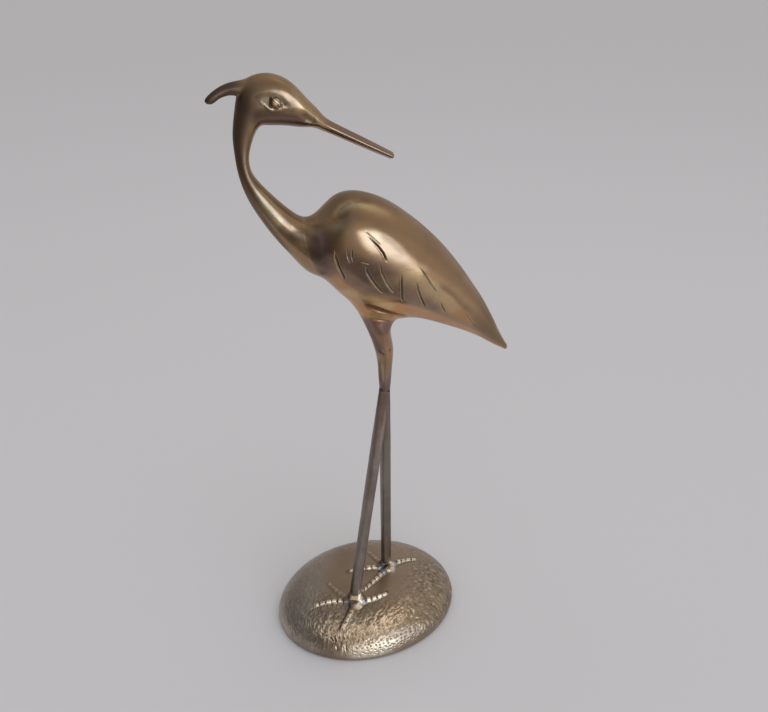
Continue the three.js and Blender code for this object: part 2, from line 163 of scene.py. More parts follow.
SLOT = np.array([(-3.8, 205.0), (-0.9, 203.9), (2.2, 202.4), (7.0, 199.9), (12.1, 197.7), (18.0, 194.8)], float)   # its upper edge
SHOULDER = np.array([(-21.3, 243.2), (-23.4, 235.7), (-23.0, 228.1), (-21.0, 222.6)], float)
BREAST_RIDGE = np.array([(-24.1, 220.5), (-27.6, 226.7), (-30.1, 230.8)], float)
PIT = (10.4, -15.5, 245.7)


# ---------------------------------------------------------------- mathematics
def smooth(a, b, v):
    u = np.clip((v - a) / (b - a), 0, 1)
    return u * u * (3 - 2 * u)


def section(table, t):
    """Uniform cubic B-spline through the rows of a table, straight at both ends."""
    k = len(table)
    c = np.concatenate([[2 * table[0] - table[1]], table, [2 * table[-1] - table[-2]]])
    t = np.clip(np.asarray(t, float), 0, k - 1)
    i = np.minimum(t.astype(int), k - 2)
    u = (t - i)[:, None]
    return ((1 - u) ** 3 * c[i] + (3 * u ** 3 - 6 * u ** 2 + 4) * c[i + 1]
            + (-3 * u ** 3 + 3 * u ** 2 + 3 * u + 1) * c[i + 2] + u ** 3 * c[i + 3]) / 6


def spow(v, e):
    return np.sign(v) * np.abs(v) ** e


def trunk_at(t, phi):
    x, z, tilt, depth, width, egg, power = section(TRUNK, t).T
    a, c, s, e = tilt * RAD, np.cos(phi), np.sin(phi), 2 / power
    along = depth / 2 * spow(c, e)
    return np.c_[x + along * np.cos(a), PLANE_Y + width / 2 * spow(s, e) * (1 + egg * c), z + along * np.sin(a)]


def limb_at(table, t, phi):
    x, z, tilt, depth, width, yaw, power = section(table, t).T
    a, w, e = tilt * RAD, yaw * RAD, 2 / power
    n = np.c_[np.cos(a) * np.cos(w), -np.cos(a) * np.sin(w), np.sin(a)]
    side = np.c_[np.sin(w), np.cos(w), 0 * w]
    return (np.c_[x, PLANE_Y + 0 * x, z] + n * (depth / 2 * spow(np.cos(phi), e))[:, None]
            + side * (width / 2 * spow(np.sin(phi), e))[:, None])


def unit(v):
    return v / np.maximum(np.linalg.norm(v, axis=-1, keepdims=True), 1e-12)


def to_line(px, pz, pts):
    """Distance to a polyline in the side view, and how far along it, 0 to 1."""
    pts = np.asarray(pts, float)
    a, d = pts[:-1], np.diff(pts, axis=0)
    seg = np.hypot(*d.T)
    start = np.r_[0, np.cumsum(seg)]
    best, along = np.full(len(px), 1e9), np.zeros(len(px))
    for i in range(len(a)):
        u = np.clip(((px - a[i, 0]) * d[i, 0] + (pz - a[i, 1]) * d[i, 1]) / seg[i] ** 2, 0, 1)
        r = np.hypot(px - a[i, 0] - u * d[i, 0], pz - a[i, 1] - u * d[i, 1])
        near = r < best
        best[near] = r[near]
        along[near] = ((start[i] + u * seg[i]) / start[-1])[near]
    return best, along


def side_of(px, pz, pts):
    """+1 on the left of a polyline, -1 on its right."""
    pts = np.asarray(pts, float)
    a, d = pts[:-1], np.diff(pts, axis=0)
    best, sign = np.full(len(px), 1e9), np.ones(len(px))
    for i in range(len(a)):
        u = np.clip(((px - a[i, 0]) * d[i, 0] + (pz - a[i, 1]) * d[i, 1]) / (d[i] @ d[i]), 0, 1)
        rx, rz = px - a[i, 0] - u * d[i, 0], pz - a[i, 1] - u * d[i, 1]
        r = np.hypot(rx, rz)
        near = r < best
        best[near] = r[near]
        sign[near] = np.sign(d[i, 0] * rz - d[i, 1] * rx)[near]
    return sign


def inside(px, pz, outline):
    """Signed distance to a closed outline, positive inside."""
    d, _ = to_line(px, pz, np.vstack([outline, outline[:1]]))
    hit = np.zeros(len(px), bool)
    for (ax, az), (bx, bz) in zip(outline, np.roll(outline, -1, 0)):
        cross = (az > pz) != (bz > pz)
        with np.errstate(divide="ignore", invalid="ignore"):
            xi = (bx - ax) * (pz - az) / (bz - az) + ax
        hit ^= cross & (px < xi)
    return np.where(hit, d, -d)


def hash3(i, j, k, seed):
    h = (i.astype(np.int64) * 374761393 + j.astype(np.int64) * 668265263 + k.astype(np.int64) * 2147483647 + seed * 974634777) & 0xFFFFFFFF
    h = ((h ^ (h >> 13)) * 1274126177) & 0xFFFFFFFF
    h = ((h ^ (h >> 16)) * 2246822519) & 0xFFFFFFFF
    return ((h ^ (h >> 15)) & 0xFFFFFF) / float(0xFFFFFF)


def noise3(p, size, seed=0):
    """Smooth value noise, about -1 to 1."""
    q = p / size
    b = np.floor(q).astype(np.int64)
    f = q - b
    f = f * f * f * (f * (f * 6 - 15) + 10)
    out = 0
    for dx in (0, 1):
        for dy in (0, 1):
            for dz in (0, 1):
                w = (f[:, 0] if dx else 1 - f[:, 0]) * (f[:, 1] if dy else 1 - f[:, 1]) * (f[:, 2] if dz else 1 - f[:, 2])
                out = out + w * hash3(b[:, 0] + dx, b[:, 1] + dy, b[:, 2] + dz, seed)
    return out * 2 - 1


def cells2(x, y, size, seed=0, jitter=0.85):
    """Distances to the nearest and second nearest of jittered points on a grid, and the nearest cell's own number."""
    gx, gy = np.floor(x / size).astype(np.int64), np.floor(y / size).astype(np.int64)
    f1, f2, own = np.full(len(x), 9.0), np.full(len(x), 9.0), np.zeros(len(x))
    for dx in (-1, 0, 1):
        for dy in (-1, 0, 1):
            cx, cy = gx + dx, gy + dy
            px = (cx + 0.5 + (hash3(cx, cy, cx * 0, seed) - 0.5) * jitter) * size
            py = (cy + 0.5 + (hash3(cx, cy, cx * 0 + 7, seed) - 0.5) * jitter) * size
            r = np.hypot(x - px, y - py) / size
            nearer = r < f1
            f2 = np.where(nearer, f1, np.minimum(f2, r))
            own = np.where(nearer, hash3(cx, cy, cx * 0 + 3, seed), own)
            f1 = np.where(nearer, r, f1)
    return f1, f2, own


# -------------------------------------------------------- grid with fine spots
def fine_grid(ni, nj, top, need, wrap, drop=None):
    """Leaves of a grid whose cells of size top split in four down to the level that need() asks for.
    Returns lattice coordinates of the used points, the faces, and a lookup from lattice point to vertex."""
    i, j = np.meshgrid(np.arange(0, ni, top), np.arange(0, nj, top), indexing="ij")
    i, j, s, level, leaves = i.ravel(), j.ravel(), top, 0, []
    while len(i):
        if drop is not None:
            keep = ~drop(i, j, s)
            i, j = i[keep], j[keep]
        split = (need(i + s / 2, j + s / 2) > level) & (s > 1)
        leaves.append((i[~split], j[~split], s))
        i, j, h = i[split], j[split], s // 2
        i, j = np.r_[i, i + h, i, i + h], np.r_[j, j, j + h, j + h]
        s, level = h, level + 1
    cols = nj if wrap else nj + 1
    used = np.zeros((ni + 1, cols), bool)
    for a, b, s in leaves:
        for di in (0, s):
            for dj in (0, s):
                used[a + di, (b + dj) % cols if wrap else b + dj] = True
    ident = np.full(used.shape, -1, int)
    ii, jj = np.nonzero(used)
    ident[ii, jj] = np.arange(len(ii))
    wide = np.c_[used, used[:, :1]] if wrap else used
    run_i, run_j = np.cumsum(wide, 0), np.cumsum(wide, 1)
    faces = []
    for a, b, s in leaves:
        if not len(a):
            continue
        j1 = b + s
        jm = j1 % cols if wrap else j1
        extra = np.zeros(len(a), bool)
        if s > 1:
            for col in (b, j1):
                extra |= (run_i[a + s - 1, col] - run_i[a, col]) > 0
            for row in (a, a + s):
                extra |= (run_j[row, j1 - 1] - run_j[row, b]) > 0
        quad = np.c_[ident[a, b], ident[a + s, b], ident[a + s, jm], ident[a, jm]]
        faces.extend(map(tuple, quad[~extra].tolist()))
        for a0, b0 in zip(a[extra].tolist(), b[extra].tolist()):
            ring = [(a0 + k, b0) for k in range(s)] + [(a0 + s, b0 + k) for k in range(s)]
            ring += [(a0 + s - k, b0 + s) for k in range(s)] + [(a0, b0 + s - k) for k in range(s)]
            face = [ident[r, c % cols if wrap else c] for r, c in ring]
            faces.append(tuple(int(v) for v in face if v >= 0))
    return ii, jj, faces, ident


def make_mesh(name, points, faces, masks):
    """A closed smooth mesh; masks holds one number per point for each surface mask: wear, grime and tarnish, and the
    painted highlights, reflections and shade mixed into them.
    """
    mesh = bpy.data.meshes.new(name)
    mesh.from_pydata((np.asarray(points) * MM).tolist(), [], [list(map(int, f)) for f in faces])
    bm = bmesh.new()
    bm.from_mesh(mesh)
    bmesh.ops.recalc_face_normals(bm, faces=bm.faces)
    if bm.calc_volume(signed=True) < 0:
        bmesh.ops.reverse_faces(bm, faces=bm.faces)
    for f in bm.faces:
        f.smooth = True
    bm.to_mesh(mesh)
    bm.free()
    for key, values in masks.items():
        layer = mesh.attributes.new(key, "FLOAT", "POINT")
        layer.data.foreach_set("value", np.clip(np.asarray(values, np.float32), 0, 1))
    obj = bpy.data.objects.new(name, mesh)
    bpy.context.scene.collection.objects.link(obj)
    return obj


def triangles(obj):
    return sum(len(p.vertices) - 2 for p in obj.data.polygons)


# ------------------------------------------------------------- bird's carving
def cut(px, pz, stroke):
    """A chased stroke: a V with a burr along its lower side. Returns height, groove mask and burr mask."""
    pts, depth, half, lip, start = stroke
    d, u = to_line(px, pz, pts)
    out, groove, burr = np.zeros(len(px)), np.zeros(len(px)), np.zeros(len(px))
    near = d < 3.2 * half + 0.5
    if not near.any():
        return out, groove, burr
    d, u = d[near], u[near]
    side = side_of(px[near], pz[near], pts)
    taper = smooth(-0.02, start, u) * smooth(1.02, 0.86, u)
    w = 0.84 * half * (0.45 + 0.55 * taper)
    x = d / w
    v = np.clip(1.06 - np.sqrt(x ** 2 + 0.0036), 0, 1)
    low = np.where(side < 0, 1.0, 0.25)
    edge = np.exp(-(((x - 1.45) / 0.42) ** 2)) * taper
    out[near] = -depth * v * taper ** 0.8 + lip * edge * low
    groove[near] = np.clip(v * 1.5, 0, 1) * taper ** 0.6 * min(1.0, 0.10 + depth / 0.85)
    burr[near] = edge * low * min(1.0, lip / 0.2)
    return out, groove, burr


EYE_OUTLINE = np.array([(-46.0, 294.3), (-45.0, 294.9), (-43.2, 295.5), (-41.4, 296.1), (-39.2, 296.3), (-37.2, 295.5), (-35.6, 293.9), (-34.0, 292.0),
                        (-35.6, 291.0), (-38.0, 290.7), (-40.3, 290.8), (-41.7, 291.6), (-43.2, 292.9), (-44.6, 293.7)], float)
LID = np.array([(-43.2, 293.2), (-42.4, 292.4), (-41.4, 291.4), (-40.1, 290.7), (-38.4, 290.4), (-36.4, 290.5), (-34.2, 291.3)], float)
CRESCENT = np.array([(-40.6, 295.7), (-40.6, 294.5), (-40.9, 293.5), (-40.8, 292.4), (-40.2, 291.5)], float)


def eye_relief(px, pz):
    """The chased eye: a shallow hollow, lower lid, eyeball and the folds at its front corner."""
    lid = inside(px, pz, EYE_OUTLINE)
    up = smooth(292.4, 295.4, pz + 0.28 * (px + 40))      # the upper side is cut steeper
    back = smooth(-41.5, -45.0, px)
    socket = -(0.24 + 0.24 * up) * smooth(-1.2 - 0.9 * up, 1.9, lid) * (1 - 0.45 * back)
    d, u = to_line(px, pz, LID)
    low = (0.26 - 0.22 * u) * np.exp(-((d / 0.50) ** 2)) * smooth(-0.05, 0.12, u) * smooth(0.55, 0.25, u)
    ball_d = np.sqrt(((px + 38.55) / 2.05) ** 2 + ((pz - 293.35) / 2.25) ** 2)
    ball = 0.62 * np.sqrt(np.clip(1 - ball_d ** 2, 0, 1))
    d, u = to_line(px, pz, CRESCENT)
    groove = np.exp(-((d / 0.42) ** 2)) * smooth(-0.05, 0.2, u) * smooth(1.05, 0.8, u)
    d, _ = to_line(px, pz, [(-39.3, 294.7), (-38.5, 294.0), (-37.5, 293.1)])
    streak = 0.13 * np.exp(-((d / 0.42) ** 2))
    # pupil and the folds in front of it
    pr = np.hypot(px + 37.1, (pz - 292.3) * 1.1)
    pupil = 0.12 * np.exp(-((pr / 0.42) ** 2)) - 0.20 * np.exp(-(((pr - 0.85) / 0.28) ** 2)) * smooth(0.5, -0.5, pz - 292.4)
    d, _ = to_line(px, pz, [(-35.9, 291.2), (-34.4, 291.2)])
    fold = 0.05 * np.exp(-((d / 0.32) ** 2)) - 0.12 * np.exp(-((np.hypot(px + 35.2, pz - 292.4) / 0.5) ** 2))
    corner = 0.14 * np.exp(-((np.hypot(px + 44.3, pz - 293.95) / 0.6) ** 2))
    height = socket + low + ball - 0.42 * groove + streak + pupil + fold + corner
    # Painted shade in the groove round the eyeball, on the upper socket and in the ring round the pupil; shine is a
    # painted highlight on the lower lid, the eyeball's streak and the back corner; halo is painted shade round the
    # hollow.
    shade = 0.85 * groove + 0.42 * up * smooth(0.0, 1.2, lid) * smooth(0.95, 1.25, ball_d) * (1 - 0.6 * back)
    shade = shade + 0.35 * np.exp(-(((pr - 0.85) / 0.28) ** 2)) * smooth(0.5, -0.5, pz - 292.4)
    shine = 0.9 * np.exp(-((to_line(px, pz, LID[:4])[0] / 0.42) ** 2)) + 6.5 * streak * (ball_d < 1.1) + 3.5 * corner
    shine = np.clip(shine, 0, 1) * (1 - groove)
    halo = smooth(-3.4, 0.2, lid) * (0.34 + 0.30 * smooth(-37.0, -42.0, px)) * smooth(-32.0, -36.0, px) * (1 - 0.55 * smooth(1.1, 0.8, ball_d))
    return height, np.clip(np.maximum(shade, halo) * (1 - 0.85 * shine), 0, 1), shine


def cheek_relief(px, pz):
    """Hollow at the corner of the bill, with a raised lower border; it returns the relief, painted shade in the hollow
    and a painted highlight on the border.
    """
    d, u = to_line(px, pz, [(-27.3, 287.6), (-25.6, 286.5), (-23.9, 285.2)])
    hollow = np.exp(-((d / 1.5) ** 2))
    d, u = to_line(px, pz, [(-27.2, 285.8), (-26.3, 285.0), (-24.7, 284.3), (-23.1, 284.5)])
    rim = np.exp(-((d / 0.6) ** 2)) * smooth(-0.02, 0.3, u) * smooth(1.02, 0.6, u)
    return 0.22 * rim - 0.42 * hollow, 0.40 * hollow ** 1.3, 0.85 * rim


def seam_t(phi):
    """Where the brazed line round the neck root lies, as a place along the trunk."""
    turn = np.degrees(np.abs(((phi + np.pi) % (2 * np.pi)) - np.pi))   # 0 at the breast, 180 at the back
    return np.interp(turn, [0, 25, 65, 87, 109, 137, 180], [8.35, 8.5, 9.5, 9.9, 10.2, 10.3, 10.32])


def mantle_place(p):
    """Distance to the mantle's edge, how far along it (0 to 1), and the height above it."""
    line = np.c_[p[:, 0], np.abs(p[:, 1] - PLANE_Y), p[:, 2]]
    best, at, low = np.full(len(p), 1e9), np.zeros(len(p)), np.zeros(len(p))
    for k in range(len(MANTLE) - 1):
        a, b = MANTLE[k], MANTLE[k + 1]
        u = np.clip(((line - a) @ (b - a)) / ((b - a) @ (b - a)), 0, 1)
        rel = line - a - u[:, None] * (b - a)
        d = np.linalg.norm(rel, axis=1)
        nearer = d < best
        best[nearer], at[nearer], low[nearer] = d[nearer], (k + u[nearer]) / (len(MANTLE) - 1), rel[nearer, 1]
    return best, at, low


def carved_trunk(t, phi):
    p = trunk_at(t, phi)
    e = 2e-3
    n = unit(np.cross(trunk_at(t, phi + e) - trunk_at(t, phi - e), trunk_at(np.minimum(t + e, 27), phi) - trunk_at(np.maximum(t - e, 0), phi)))
    mid = section(TRUNK, t)[:, [0, 1]]
    out = np.c_[p[:, 0] - mid[:, 0], p[:, 1] - PLANE_Y, p[:, 2] - mid[:, 1]]
    flip = (n * out).sum(1) < 0
    n[flip] *= -1
    px, pz, side = p[:, 0], p[:, 2], np.sign(p[:, 1] - PLANE_Y)
    flank = smooth(0.45, 0.85, np.abs(np.sin(phi)))
    left, right = side < 0, side > 0

    # folded wing standing out of the flank, and the brow ridge
    border = inside(px, pz, WING)
    crisp = smooth(-12, 14, px)
    lower_edge = smooth(4, 18, px) * smooth(74, 58, px) * (pz < 245)
    soft = 7.0 - 5.5 * crisp
    swell = 1.1 * smooth(-1, 1, border / soft)
    swell = swell + lower_edge * (0.12 * np.exp(-(((border - 1.6) / 1.4) ** 2)) - 0.12 * np.exp(-(((border + 1.9) / 1.5) ** 2)))
    swell = swell * smooth(0.5, 3, t)
    d, _ = to_line(px, pz, BROW)
    brow = np.exp(-((d / 2.7) ** 2))
    swell = swell + 0.28 * brow
    p = p.copy()
    p[:, 1] += side * flank * swell

    lift, grime_and_painted_shade, wear_and_painted_highlight = np.zeros(len(t)), np.zeros(len(t)), np.zeros(len(t))
    head = (t > 16) & (t < 24.5) & (flank > 0)
    body = t < 9.5
    for group, strokes in ((left & body, STROKES_LEFT), (right & body, STROKES_RIGHT)):
        for stroke in strokes:
            h, c, w = cut(px[group], pz[group], stroke)
            lift[group] += h
            grime_and_painted_shade[group] = np.maximum(grime_and_painted_shade[group], c)
            wear_and_painted_highlight[group] = np.maximum(wear_and_painted_highlight[group], w)
    # the soft edge where the mantle feathers end over the wing
    best, at, low = mantle_place(p)
    mantle = np.where(low < 0, 0.30 * np.exp(-((best / 3.6) ** 2)), 0.30 * np.exp(-((best / 1.7) ** 2)) - 0.22 * np.exp(-(((best - 3.6) / 2.2) ** 2)))
    fade = smooth(0, 0.15, at) * (1 - 0.9 * smooth(0.45, 1, at))
    lift += np.where(body & (best < 12), mantle * fade, 0)
    # hollow between the shoulder and the breast
    d, u = to_line(px, pz, SHOULDER)
    lift += np.where((t > 7) & (t < 10.8) & (flank > 0), -0.38 * np.exp(-((d / 2.1) ** 2)) * smooth(0, 0.2, u) * smooth(1.0, 0.7, u), 0)
    d, u = to_line(px, pz, BREAST_RIDGE)
    lift += np.where(left & (t > 7.5) & (t < 10.5), 0.28 * np.exp(-((d / 1.5) ** 2)) * (1 - 0.6 * u), 0)
    # faint brazed line round the neck root
    along = (t - seam_t(phi)) * 11.0
    grain = 0.5 + 0.5 * noise3(p, 1.3, 5)
    seam = np.exp(-((along / 0.6) ** 2))
    lift += 0.05 * grain * seam - 0.04 * np.exp(-(((along - 1.1) / 0.6) ** 2))
    wear_and_painted_highlight = np.maximum(wear_and_painted_highlight, 0.60 * seam * grain)
    # eye and cheek on both sides of the head, with their painted shade and painted highlights
    for relief in (eye_relief, cheek_relief):
        h, c, w = relief(px[head], pz[head])
        k = flank[head]
        lift[head] += h * k
        grime_and_painted_shade[head] = np.maximum(grime_and_painted_shade[head], c * k)
        wear_and_painted_highlight[head] = np.maximum(wear_and_painted_highlight[head], w * k)
    # painted highlight along the brow
    wear_and_painted_highlight = np.maximum(wear_and_painted_highlight, 0.10 * brow * flank * smooth(18.5, 20, t))
    # casting pit on the back
    d = np.linalg.norm(p - np.array(PIT), axis=1)
    pit = np.where(left & body, np.exp(-((d / 0.6) ** 2)), 0)
    lift -= 0.6 * pit
    grime_and_painted_shade = np.maximum(grime_and_painted_shade, pit)
    # hand-filed unevenness
    even = smooth(0, 2, t) * smooth(24.5, 23.0, t)
    lift += 0.11 * noise3(p, 14.0, 1) * even + 0.04 * noise3(p, 6.0, 2) * even - 0.09 * smooth(0.2, 1.5, t) * smooth(26.5, 25, t)
    # the bill's side edge is rubbed paler
    edge = np.exp(-(((np.abs(np.sin(phi)) - 1) / 0.03) ** 2))
    wear_and_painted_highlight = np.maximum(wear_and_painted_highlight, 0.60 * edge * smooth(23.6, 24.6, t))
    return p + n * lift[:, None], grime_and_painted_shade, wear_and_painted_highlight


# ------------------------------------------------------------------- the bird
PER_T, COLS = 64, 512           # finest lattice steps per section and round the trunk
TOP = 16
LAST = len(TRUNK) - 1


class Branch:
    """A place where a limb grows out of the trunk: a square of lattice cells is opened,
    its border is bent to an ellipse, and the limb is carried to it with a smooth fillet."""

    def __init__(self, t, half, reach_t, reach_phi, spread):
        self.t, self.n = t, half
        self.i0, self.j0 = int(round(t * PER_T)), 0
        self.i0 -= self.i0 % 4
        self.a, self.b = half / PER_T, half / COLS * 2 * math.pi
        self.ea, self.eb, self.m = reach_t, reach_phi, spread

    def drop(self, i, j, s):
        jj = np.where(j >= COLS / 2, j - COLS, j)
        return (i >= self.i0 - self.n) & (i + s <= self.i0 + self.n) & (jj >= -self.n) & (jj + s <= self.n)

    def touches(self, i, j, pad):
        jj = np.where(j >= COLS / 2, j - COLS, j)
        return (np.abs(i - self.i0) < self.n + pad) & (np.abs(jj) < self.n + pad)

    def bend(self, t, phi):
        ph = (phi + np.pi) % (2 * np.pi) - np.pi
        u, v = (t - self.i0 / PER_T) / self.a, ph / self.b
        rho = np.maximum(np.abs(u), np.abs(v))
        act = (rho < self.m) & (rho > 0.5)
        w = np.clip((rho - 1) / (self.m - 1), 0, 1)
        pu, pv = u / np.maximum(rho, 1e-9), v / np.maximum(rho, 1e-9)
        cu, cv = pu * np.sqrt(1 - pv ** 2 / 2), pv * np.sqrt(1 - pu ** 2 / 2)
        nt = (1 - w) * self.ea * cu + w * self.m * self.a * pu
        nv = (1 - w) * self.eb * cv + w * self.m * self.b * pv
        return np.where(act, self.i0 / PER_T + nt, t), np.where(act, nv, phi)

    def border(self, ident):
        n, i0 = self.n, self.i0
        ring = [(n, k) for k in range(-n, n)] + [(n - k, n) for k in range(2 * n)]
        ring += [(-n, n - k) for k in range(2 * n)] + [(-n + k, -n) for k in range(2 * n)]
        ids, ang = [], []
        for di, dj in ring:
            v = ident[i0 + di, dj % COLS]
            if v < 0:
                continue
            pu, pv = di / n, dj / n
            ids.append(int(v))
            ang.append(math.atan2(pv * math.sqrt(1 - pu ** 2 / 2), pu * math.sqrt(1 - pv ** 2 / 2)))
        return ids, np.array(ang)


thigh_root = Branch(5.5, 48, 1.15, 0.74, 2.1)
crest_root = Branch(17.65, 32, 0.72, 0.62, 2.0)
BRANCHES = (thigh_root, crest_root)


def bent(t, phi):
    for br in BRANCHES:
        t, phi = br.bend(t, phi)
    return t, phi


def trunk_need(i, j):
    t, phi = bent(i / PER_T, j / COLS * 2 * np.pi)
    p = trunk_at(t, phi)
    px, pz = p[:, 0], p[:, 2]
    side = np.sign(p[:, 1] - PLANE_Y)
    level = np.where((t > 10.8) & (t < 16) | (t > 24.2), 1, 2)

    def near(mask, d, fine, finer):
        nonlocal level
        level = np.where(mask & (d < fine), np.maximum(level, 3), level)
        level = np.where(mask & (d < finer), np.maximum(level, 4), level)

    body = t < 9.5
    for sgn, strokes in ((-1, STROKES_LEFT), (1, STROKES_RIGHT)):
        for s in strokes:
            near(body & (side == sgn) & (np.abs(np.sin(phi)) > 0.3), to_line(px, pz, s[0])[0], 1.9, 1.05)
    near(body & (np.cos(phi) > 0.1), to_line(px, pz, SLOT)[0], 3.3, 0)
    head = (t > 16.5) & (t < 23.5) & (np.abs(np.sin(phi)) > 0.35)
    near(head, -inside(px, pz, EYE_OUTLINE), 0.9, -0.3)
    near(head, np.hypot(px + 25.6, pz - 285.9), 4.0, 0)
    near(body & (side < 0), np.linalg.norm(p - np.array(PIT), axis=1), 2.5, 1.4)
    near(np.abs(np.sin(phi)) > 0.6, to_line(px, pz, BROW)[0] + np.where((t > 19) & (t < 24.5), 0, 9), 1.6, 0)
    for br in BRANCHES:
        level = np.where(br.touches(i, j, 10), np.maximum(level, 2), level)
    level = np.where(thigh_root.touches(i, j, 5), np.maximum(level, 3), level)
    return level


def build_bird():
    ii, jj, faces, ident = fine_grid(LAST * PER_T, COLS, TOP, trunk_need, True,
                                     lambda i, j, s: thigh_root.drop(i, j, s) | crest_root.drop(i, j, s))
    t, phi = bent(ii / PER_T, jj / COLS * 2 * np.pi)
    carved, grime_and_painted_shade0, wear_and_painted_highlight0 = carved_trunk(t, phi)
    pts, grime_and_painted_shade, wear_and_painted_highlight = [carved], [grime_and_painted_shade0], [wear_and_painted_highlight0]
    count = len(ii)

    def add(points, dirt_and_painted_shade=None, rub_and_painted_highlight=None):
        nonlocal count
        first = count
        pts.append(points)
        grime_and_painted_shade.append(np.zeros(len(points)) if dirt_and_painted_shade is None else dirt_and_painted_shade)
        wear_and_painted_highlight.append(np.zeros(len(points)) if rub_and_painted_highlight is None else rub_and_painted_highlight)
        count += len(points)
        return list(range(first, count))

    def band(lower, upper):
        n = len(lower)
        for k in range(n):
            faces.append((lower[k], lower[(k + 1) % n], upper[(k + 1) % n], upper[k]))

    def cap(ring, centre, push, steps):
        """Rounded end: the ring shrinks onto its middle while it moves out."""
        base = np.vstack(pts)[ring]
        mid = base.mean(0)
        for k in range(1, steps + 1):
            q = k / steps * math.pi / 2
            shrink = 1 - (1 - centre) * (1 - math.cos(q))
            new = add(mid + (base - mid) * shrink + push * math.sin(q))
            band(ring, new)
            ring = new
        faces.append(tuple(ring))

    # bill tip and tail tip
    for i, sign in ((LAST * PER_T, 1), (0, -1)):
        ring = [int(ident[i, j]) for j in range(COLS) if ident[i, j] >= 0]
        x, z, tilt = section(TRUNK, [i / PER_T])[0][:3]
        step = section(TRUNK, [min(i / PER_T + 0.01, LAST)])[0][:2] - section(TRUNK, [max(i / PER_T - 0.01, 0)])[0][:2]
        out = unit(np.array([[step[0], 0, step[1]]]))[0] * sign
        cap(ring, 0.72 if sign > 0 else 0.35, out * (0.22 if sign > 0 else 0.05), 3)

    for br, table, start, rows_bridge, rows_limb, pull_trunk, pull_limb in (
            (thigh_root, THIGH, 4.0, 26, 12, 1.05, 1.0), (crest_root, CREST, 3.1, 9, 7, 0.8, 0.9)):
        ids, ang = br.border(ident)
        base = np.vstack(pts)[ids]
        lt, lp = t[ids], phi[ids]
        e = 1e-3
        st = (trunk_at(lt + e, lp) - trunk_at(lt - e, lp)) / (2 * e)
        sp = (trunk_at(lt, lp + e) - trunk_at(lt, lp - e)) / (2 * e)
        lph = (lp + np.pi) % (2 * np.pi) - np.pi
        inward = unit(st * (br.i0 / PER_T - lt)[:, None] - sp * lph[:, None])
        ring = limb_at(table, np.full(len(ang), start), ang)
        grow = unit(limb_at(table, np.full(len(ang), start + e), ang) - limb_at(table, np.full(len(ang), start - e), ang))
        gap = np.linalg.norm(ring - base, axis=1, keepdims=True)
        last_ring = ids
        for k in range(1, rows_bridge + 1):
            s = k / rows_bridge
            h00, h10, h01, h11 = 2 * s ** 3 - 3 * s ** 2 + 1, s ** 3 - 2 * s ** 2 + s, -2 * s ** 3 + 3 * s ** 2, s ** 3 - s ** 2
            new = add(h00 * base + h10 * inward * gap * pull_trunk + h01 * ring + h11 * grow * gap * pull_limb)
            band(last_ring, new)
            last_ring = new
        end = len(table) - 1
        rows = int(round((end - start) * rows_limb))
        for k in [*range(1, rows), rows - 0.06, rows]:
            tt = start + (end - start) * k / rows
            q = limb_at(table, np.full(len(ang), tt), ang)
            new = add(q)
            band(last_ring, new)
            last_ring = new
        if table is THIGH:
            cap(last_ring, 0.985, np.array([0.0, 0, -0.06]), 1)
        else:
            cap(last_ring, 0.3, np.array([-0.03, 0, -0.10]), 4)
    p = np.vstack(pts)
    n = outward(p, faces)
    lift, dirt_and_painted_shade, rub_and_painted_highlight = root_carving(p)
    p = p + n * lift[:, None]
    # painted shade on the downward-facing under edge of the belly and tail
    under = 0.42 * smooth(-0.60, -0.86, n[:, 2]) * smooth(9, 16, p[:, 0]) * smooth(68, 60, p[:, 0]) * (p[:, 2] < 215)
    tarnish_and_painted_light, warm_and_painted_reflection, satin, painted_highlight, dull_and_painted_shade = bird_tones(p)
    return make_mesh("bird_body", p, faces, {"grime_and_painted_shade": np.max([np.concatenate(grime_and_painted_shade), dirt_and_painted_shade, under, dull_and_painted_shade * (1 - np.concatenate(wear_and_painted_highlight))], axis=0), "wear_and_painted_highlight": np.maximum(np.concatenate(wear_and_painted_highlight), rub_and_painted_highlight),
                                             "tarnish_and_painted_light": tarnish_and_painted_light, "warm_and_painted_reflection": warm_and_painted_reflection, "satin": satin, "painted_sheen": painted_highlight * (1 - dirt_and_painted_shade)})


def outward(points, faces):
    """Normals of a closed surface at its points."""
    mesh = bpy.data.meshes.new("probe")
    mesh.from_pydata(np.asarray(points).tolist(), [], faces)
    bm = bmesh.new()
    bm.from_mesh(mesh)
    bmesh.ops.recalc_face_normals(bm, faces=bm.faces)
    turn = -1.0 if bm.calc_volume(signed=True) < 0 else 1.0
    bm.normal_update()
    n = np.array([tuple(v.normal) for v in bm.verts]) * turn
    bm.free()
    bpy.data.meshes.remove(mesh)
    return n


